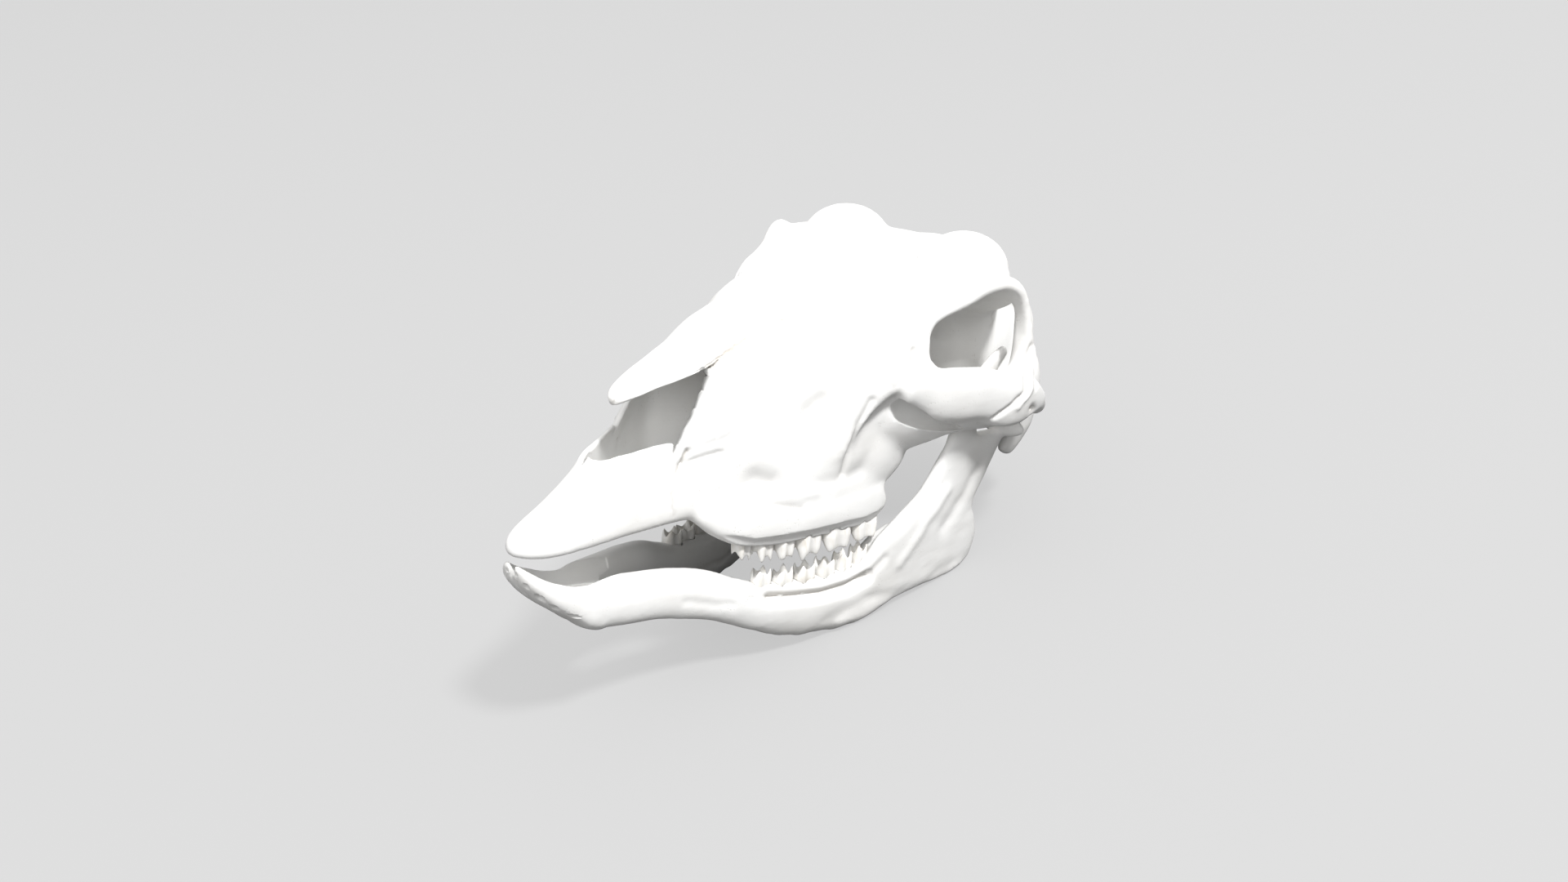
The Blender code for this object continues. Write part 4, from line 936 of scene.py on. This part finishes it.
def tooth(row, up):
    """Rings from the root end up the crown, over the rim and down into the hollow. The rim rises in
    straight slopes to a cusp over each lobe, height times low to 1, uneven by slow sines."""
    edge, outer, inner = row[4:]
    a = angles(TOOTH_AROUND)
    tall = np.where(np.sin(a) > 0, outer, inner)
    peaks = 1 - np.abs(np.mod(a, np.pi / 2) / (np.pi / 4) - 1 + 0.16 * np.sin(row[0]))
    uneven = 1 + 0.1 * np.sin(a + row[0]) + 0.06 * np.sin(5 * a + 3 * row[0])
    low = 0.62 if up > 0 else 0.74
    rim = tall * (low + (1 - low) * np.clip(peaks, 0, 1)) * uneven
    rim -= tall * 0.16 * np.exp(-(np.sin(a) / 0.3) ** 2)
    for _ in range(2):
        rim = (np.roll(rim, 1) + rim + np.roll(rim, -1)) / 3
    floor = 0.35 * min(outer, inner)
    rings = []
    for height, size in ((-ROOT_DEPTH, 0.6), (-6, 0.67), (-4, 0.74), (-2.2, 0.86), (-0.6, 0.96),
                         (0.4, 0.985)):
        rings.append(tooth_ring(row, size, edge + up * height))
    for share, size in ((0.2, 1.0), (0.35, 1.0), (0.52, 0.99), (0.7, 0.97), (0.85, 0.93),
                        (0.94, 0.89), (1.0, 0.84), (0.98, 0.8)):
        size += 0.008 * np.sin(9 * share + row[0])
        rings.append(tooth_ring(row, size, edge + up * rim * share))
    for share, size in ((0.8, 0.73), (0.5, 0.62), (0.25, 0.52), (0.1, 0.42), (0.05, 0.34),
                        (0.12, 0.24), (0.16, 0.16), (0.12, 0.08)):
        rings.append(tooth_ring(row, size, edge + up * (floor + (rim - floor) * share)))
    return skinned(np.array(rings))


def enamel_finish(grain):
    """Ivory enamel: streaks along the crown by a stretched cloud, stained in patches, half
    glossy."""
    finish, nodes, links, surface = new_finish("tooth_enamel", grain, (
        ("Cloud Scale", 120), ("Fibre Scale", 900), ("Pit Scale", 700), ("Pit Share", 0.6)))
    streak = clouded(nodes, links, scale=650, detail=3, stretch=(1, 1, 0.15))
    lines = ranged(nodes, links, streak, 0.5, 0.75)
    patches = ranged(nodes, links, surface["Mottle"], 0.55, 0.8, 0, 0.6)
    tone = mixed(nodes, links, lines, ENAMEL_PALE, ENAMEL_ROOT)
    colour = mixed(nodes, links, patches, tone, ENAMEL_STAIN)
    coated(nodes, links, colour, surface["Mottle"], smooth=0.22, rough=0.42,
           height=streak, strength=0.3, depth=0.00015)
    return finish


enamel = enamel_finish(grain)
for row_name, teeth, up in (("upper", UPPER_TEETH, -1), ("lower", LOWER_TEETH, 1)):
    for i, row in enumerate(teeth):
        for side, surface in zip(("left", "right"), pair(tooth(row, up))):
            node = f"tooth_{row_name}_{side}_{i + 1}"
            finished(solid(node + "_crown", [surface]), node + "_crown", node, enamel)


# The floor and the light: a pale matt sheet that lies flat and bends up all round like a wide
# shallow bowl, under three soft round lamps and an even white sky.

FLAT_REACH = 5.0
BOWL_RADIUS = 2.5
FLAT_RINGS = 12
BOWL_RINGS = 16
SHEET_AROUND = 72
PAPER_GLOW = 0.535
PAPER_TONE = 0.08
SKY_LIGHT = 1.05
# Name, place in metres, size and power of each soft lamp. All aim at the middle of the skull.
LAMPS = [
    ("key", (1.5, -0.1, 2.46), 0.42, 102),
    ("fill", (1.0, -1.9, 1.2), 1.4, 12),
    ("front", (-0.3, -2.1, 2.1), 1.8, 6)]
LAMP_AIM = (0, 0, 0.06)

backdrop_data = bpy.data.meshes.new("backdrop")
rise = np.linspace(0.06, math.pi / 2, BOWL_RINGS)
far_out = np.concatenate([np.linspace(0.02, 1, FLAT_RINGS) * FLAT_REACH,
                          FLAT_REACH + BOWL_RADIUS * np.sin(rise)])
lift = np.concatenate([np.zeros(FLAT_RINGS), BOWL_RADIUS * (1 - np.cos(rise))])
turn = angles(SHEET_AROUND)
sheet = np.stack([far_out[:, None] * np.cos(turn), far_out[:, None] * np.sin(turn),
                  lift[:, None] + 0 * turn], -1)
i = np.arange(sheet.shape[0] * sheet.shape[1]).reshape(sheet.shape[:2])
beside = np.roll(i, -1, 1)
quads = np.stack([i[:-1], i[1:], beside[1:], beside[:-1]], -1).reshape(-1, 4)
backdrop_data.from_pydata(sheet.reshape(-1, 3).tolist(), [], [i[0].tolist()] + quads.tolist())
backdrop = bpy.data.objects.new("backdrop", backdrop_data)
bpy.context.scene.collection.objects.link(backdrop)
pale = bpy.data.materials.new("pale_paper")
pale.use_nodes = True
paper = pale.node_tree.nodes["Principled BSDF"]
paper.inputs["Base Color"].default_value = (PAPER_TONE, PAPER_TONE, PAPER_TONE, 1)
paper.inputs["Roughness"].default_value = 0.95
paper.inputs["Emission Color"].default_value = (1, 1, 1, 1)
nodes, links = pale.node_tree.nodes, pale.node_tree.links
seen = nodes.new("ShaderNodeLightPath").outputs["Is Camera Ray"]
links.new(worked(nodes, links, "MULTIPLY", seen, PAPER_GLOW), paper.inputs["Emission Strength"])
backdrop_data.materials.append(pale)
backdrop_data.polygons.foreach_set("use_smooth", np.ones(len(backdrop_data.polygons), bool))

world = bpy.data.worlds.new("studio")
bpy.context.scene.world = world
world.use_nodes = True
sky = world.node_tree.nodes["Background"]
sky.inputs["Color"].default_value = (1, 1, 1, 1)
sky.inputs["Strength"].default_value = SKY_LIGHT

for name, place, size, watts in LAMPS:
    data = bpy.data.lights.new(name, "AREA")
    data.shape = "DISK"
    data.size = size
    data.energy = watts
    obj = bpy.data.objects.new(name, data)
    obj.location = place
    away = np.array(place, float) - np.array(LAMP_AIM, float)
    obj.rotation_euler = (math.acos(away[2] / np.linalg.norm(away)), 0,
                          math.atan2(away[0], -away[1]))
    bpy.context.scene.collection.objects.link(obj)
bpy.context.scene.view_settings.view_transform = "Standard"


# The camera: it stands in front of the skull on its left, a little above it, and leans slightly
# to one side, as it did for the photograph. It is worked out in the skull's own frame.

VIEW_AZIMUTH = 0.74195
VIEW_RISE = 0.29832
VIEW_ROLL = 0.09408
VIEW_AWAY = 554.68
VIEW_TARGET = np.array([4.63, 111.54, 58.53])
VIEW_ANGLE = math.radians(30)

back = np.array([math.sin(VIEW_AZIMUTH) * math.cos(VIEW_RISE),
                 -math.cos(VIEW_AZIMUTH) * math.cos(VIEW_RISE), math.sin(VIEW_RISE)])
level_right = np.cross(-back, [0, 0, 1])
level_right /= np.linalg.norm(level_right)
level_up = np.cross(level_right, -back)
right = level_right * math.cos(VIEW_ROLL) + level_up * math.sin(VIEW_ROLL)
up = -level_right * math.sin(VIEW_ROLL) + level_up * math.cos(VIEW_ROLL)
stand = np.eye(4)
stand[:3, 0], stand[:3, 1], stand[:3, 2] = TIP @ right, TIP @ up, TIP @ back
stand[:3, 3] = TIP @ (VIEW_TARGET + back * VIEW_AWAY) * MM + HOME
camera_data = bpy.data.cameras.new("camera")
camera_data.sensor_fit = "VERTICAL"
camera_data.angle = VIEW_ANGLE
camera_data.clip_start = 0.01
camera = bpy.data.objects.new("camera", camera_data)
bpy.context.scene.collection.objects.link(camera)
camera.matrix_world = Matrix(stand.tolist())
bpy.context.scene.camera = camera
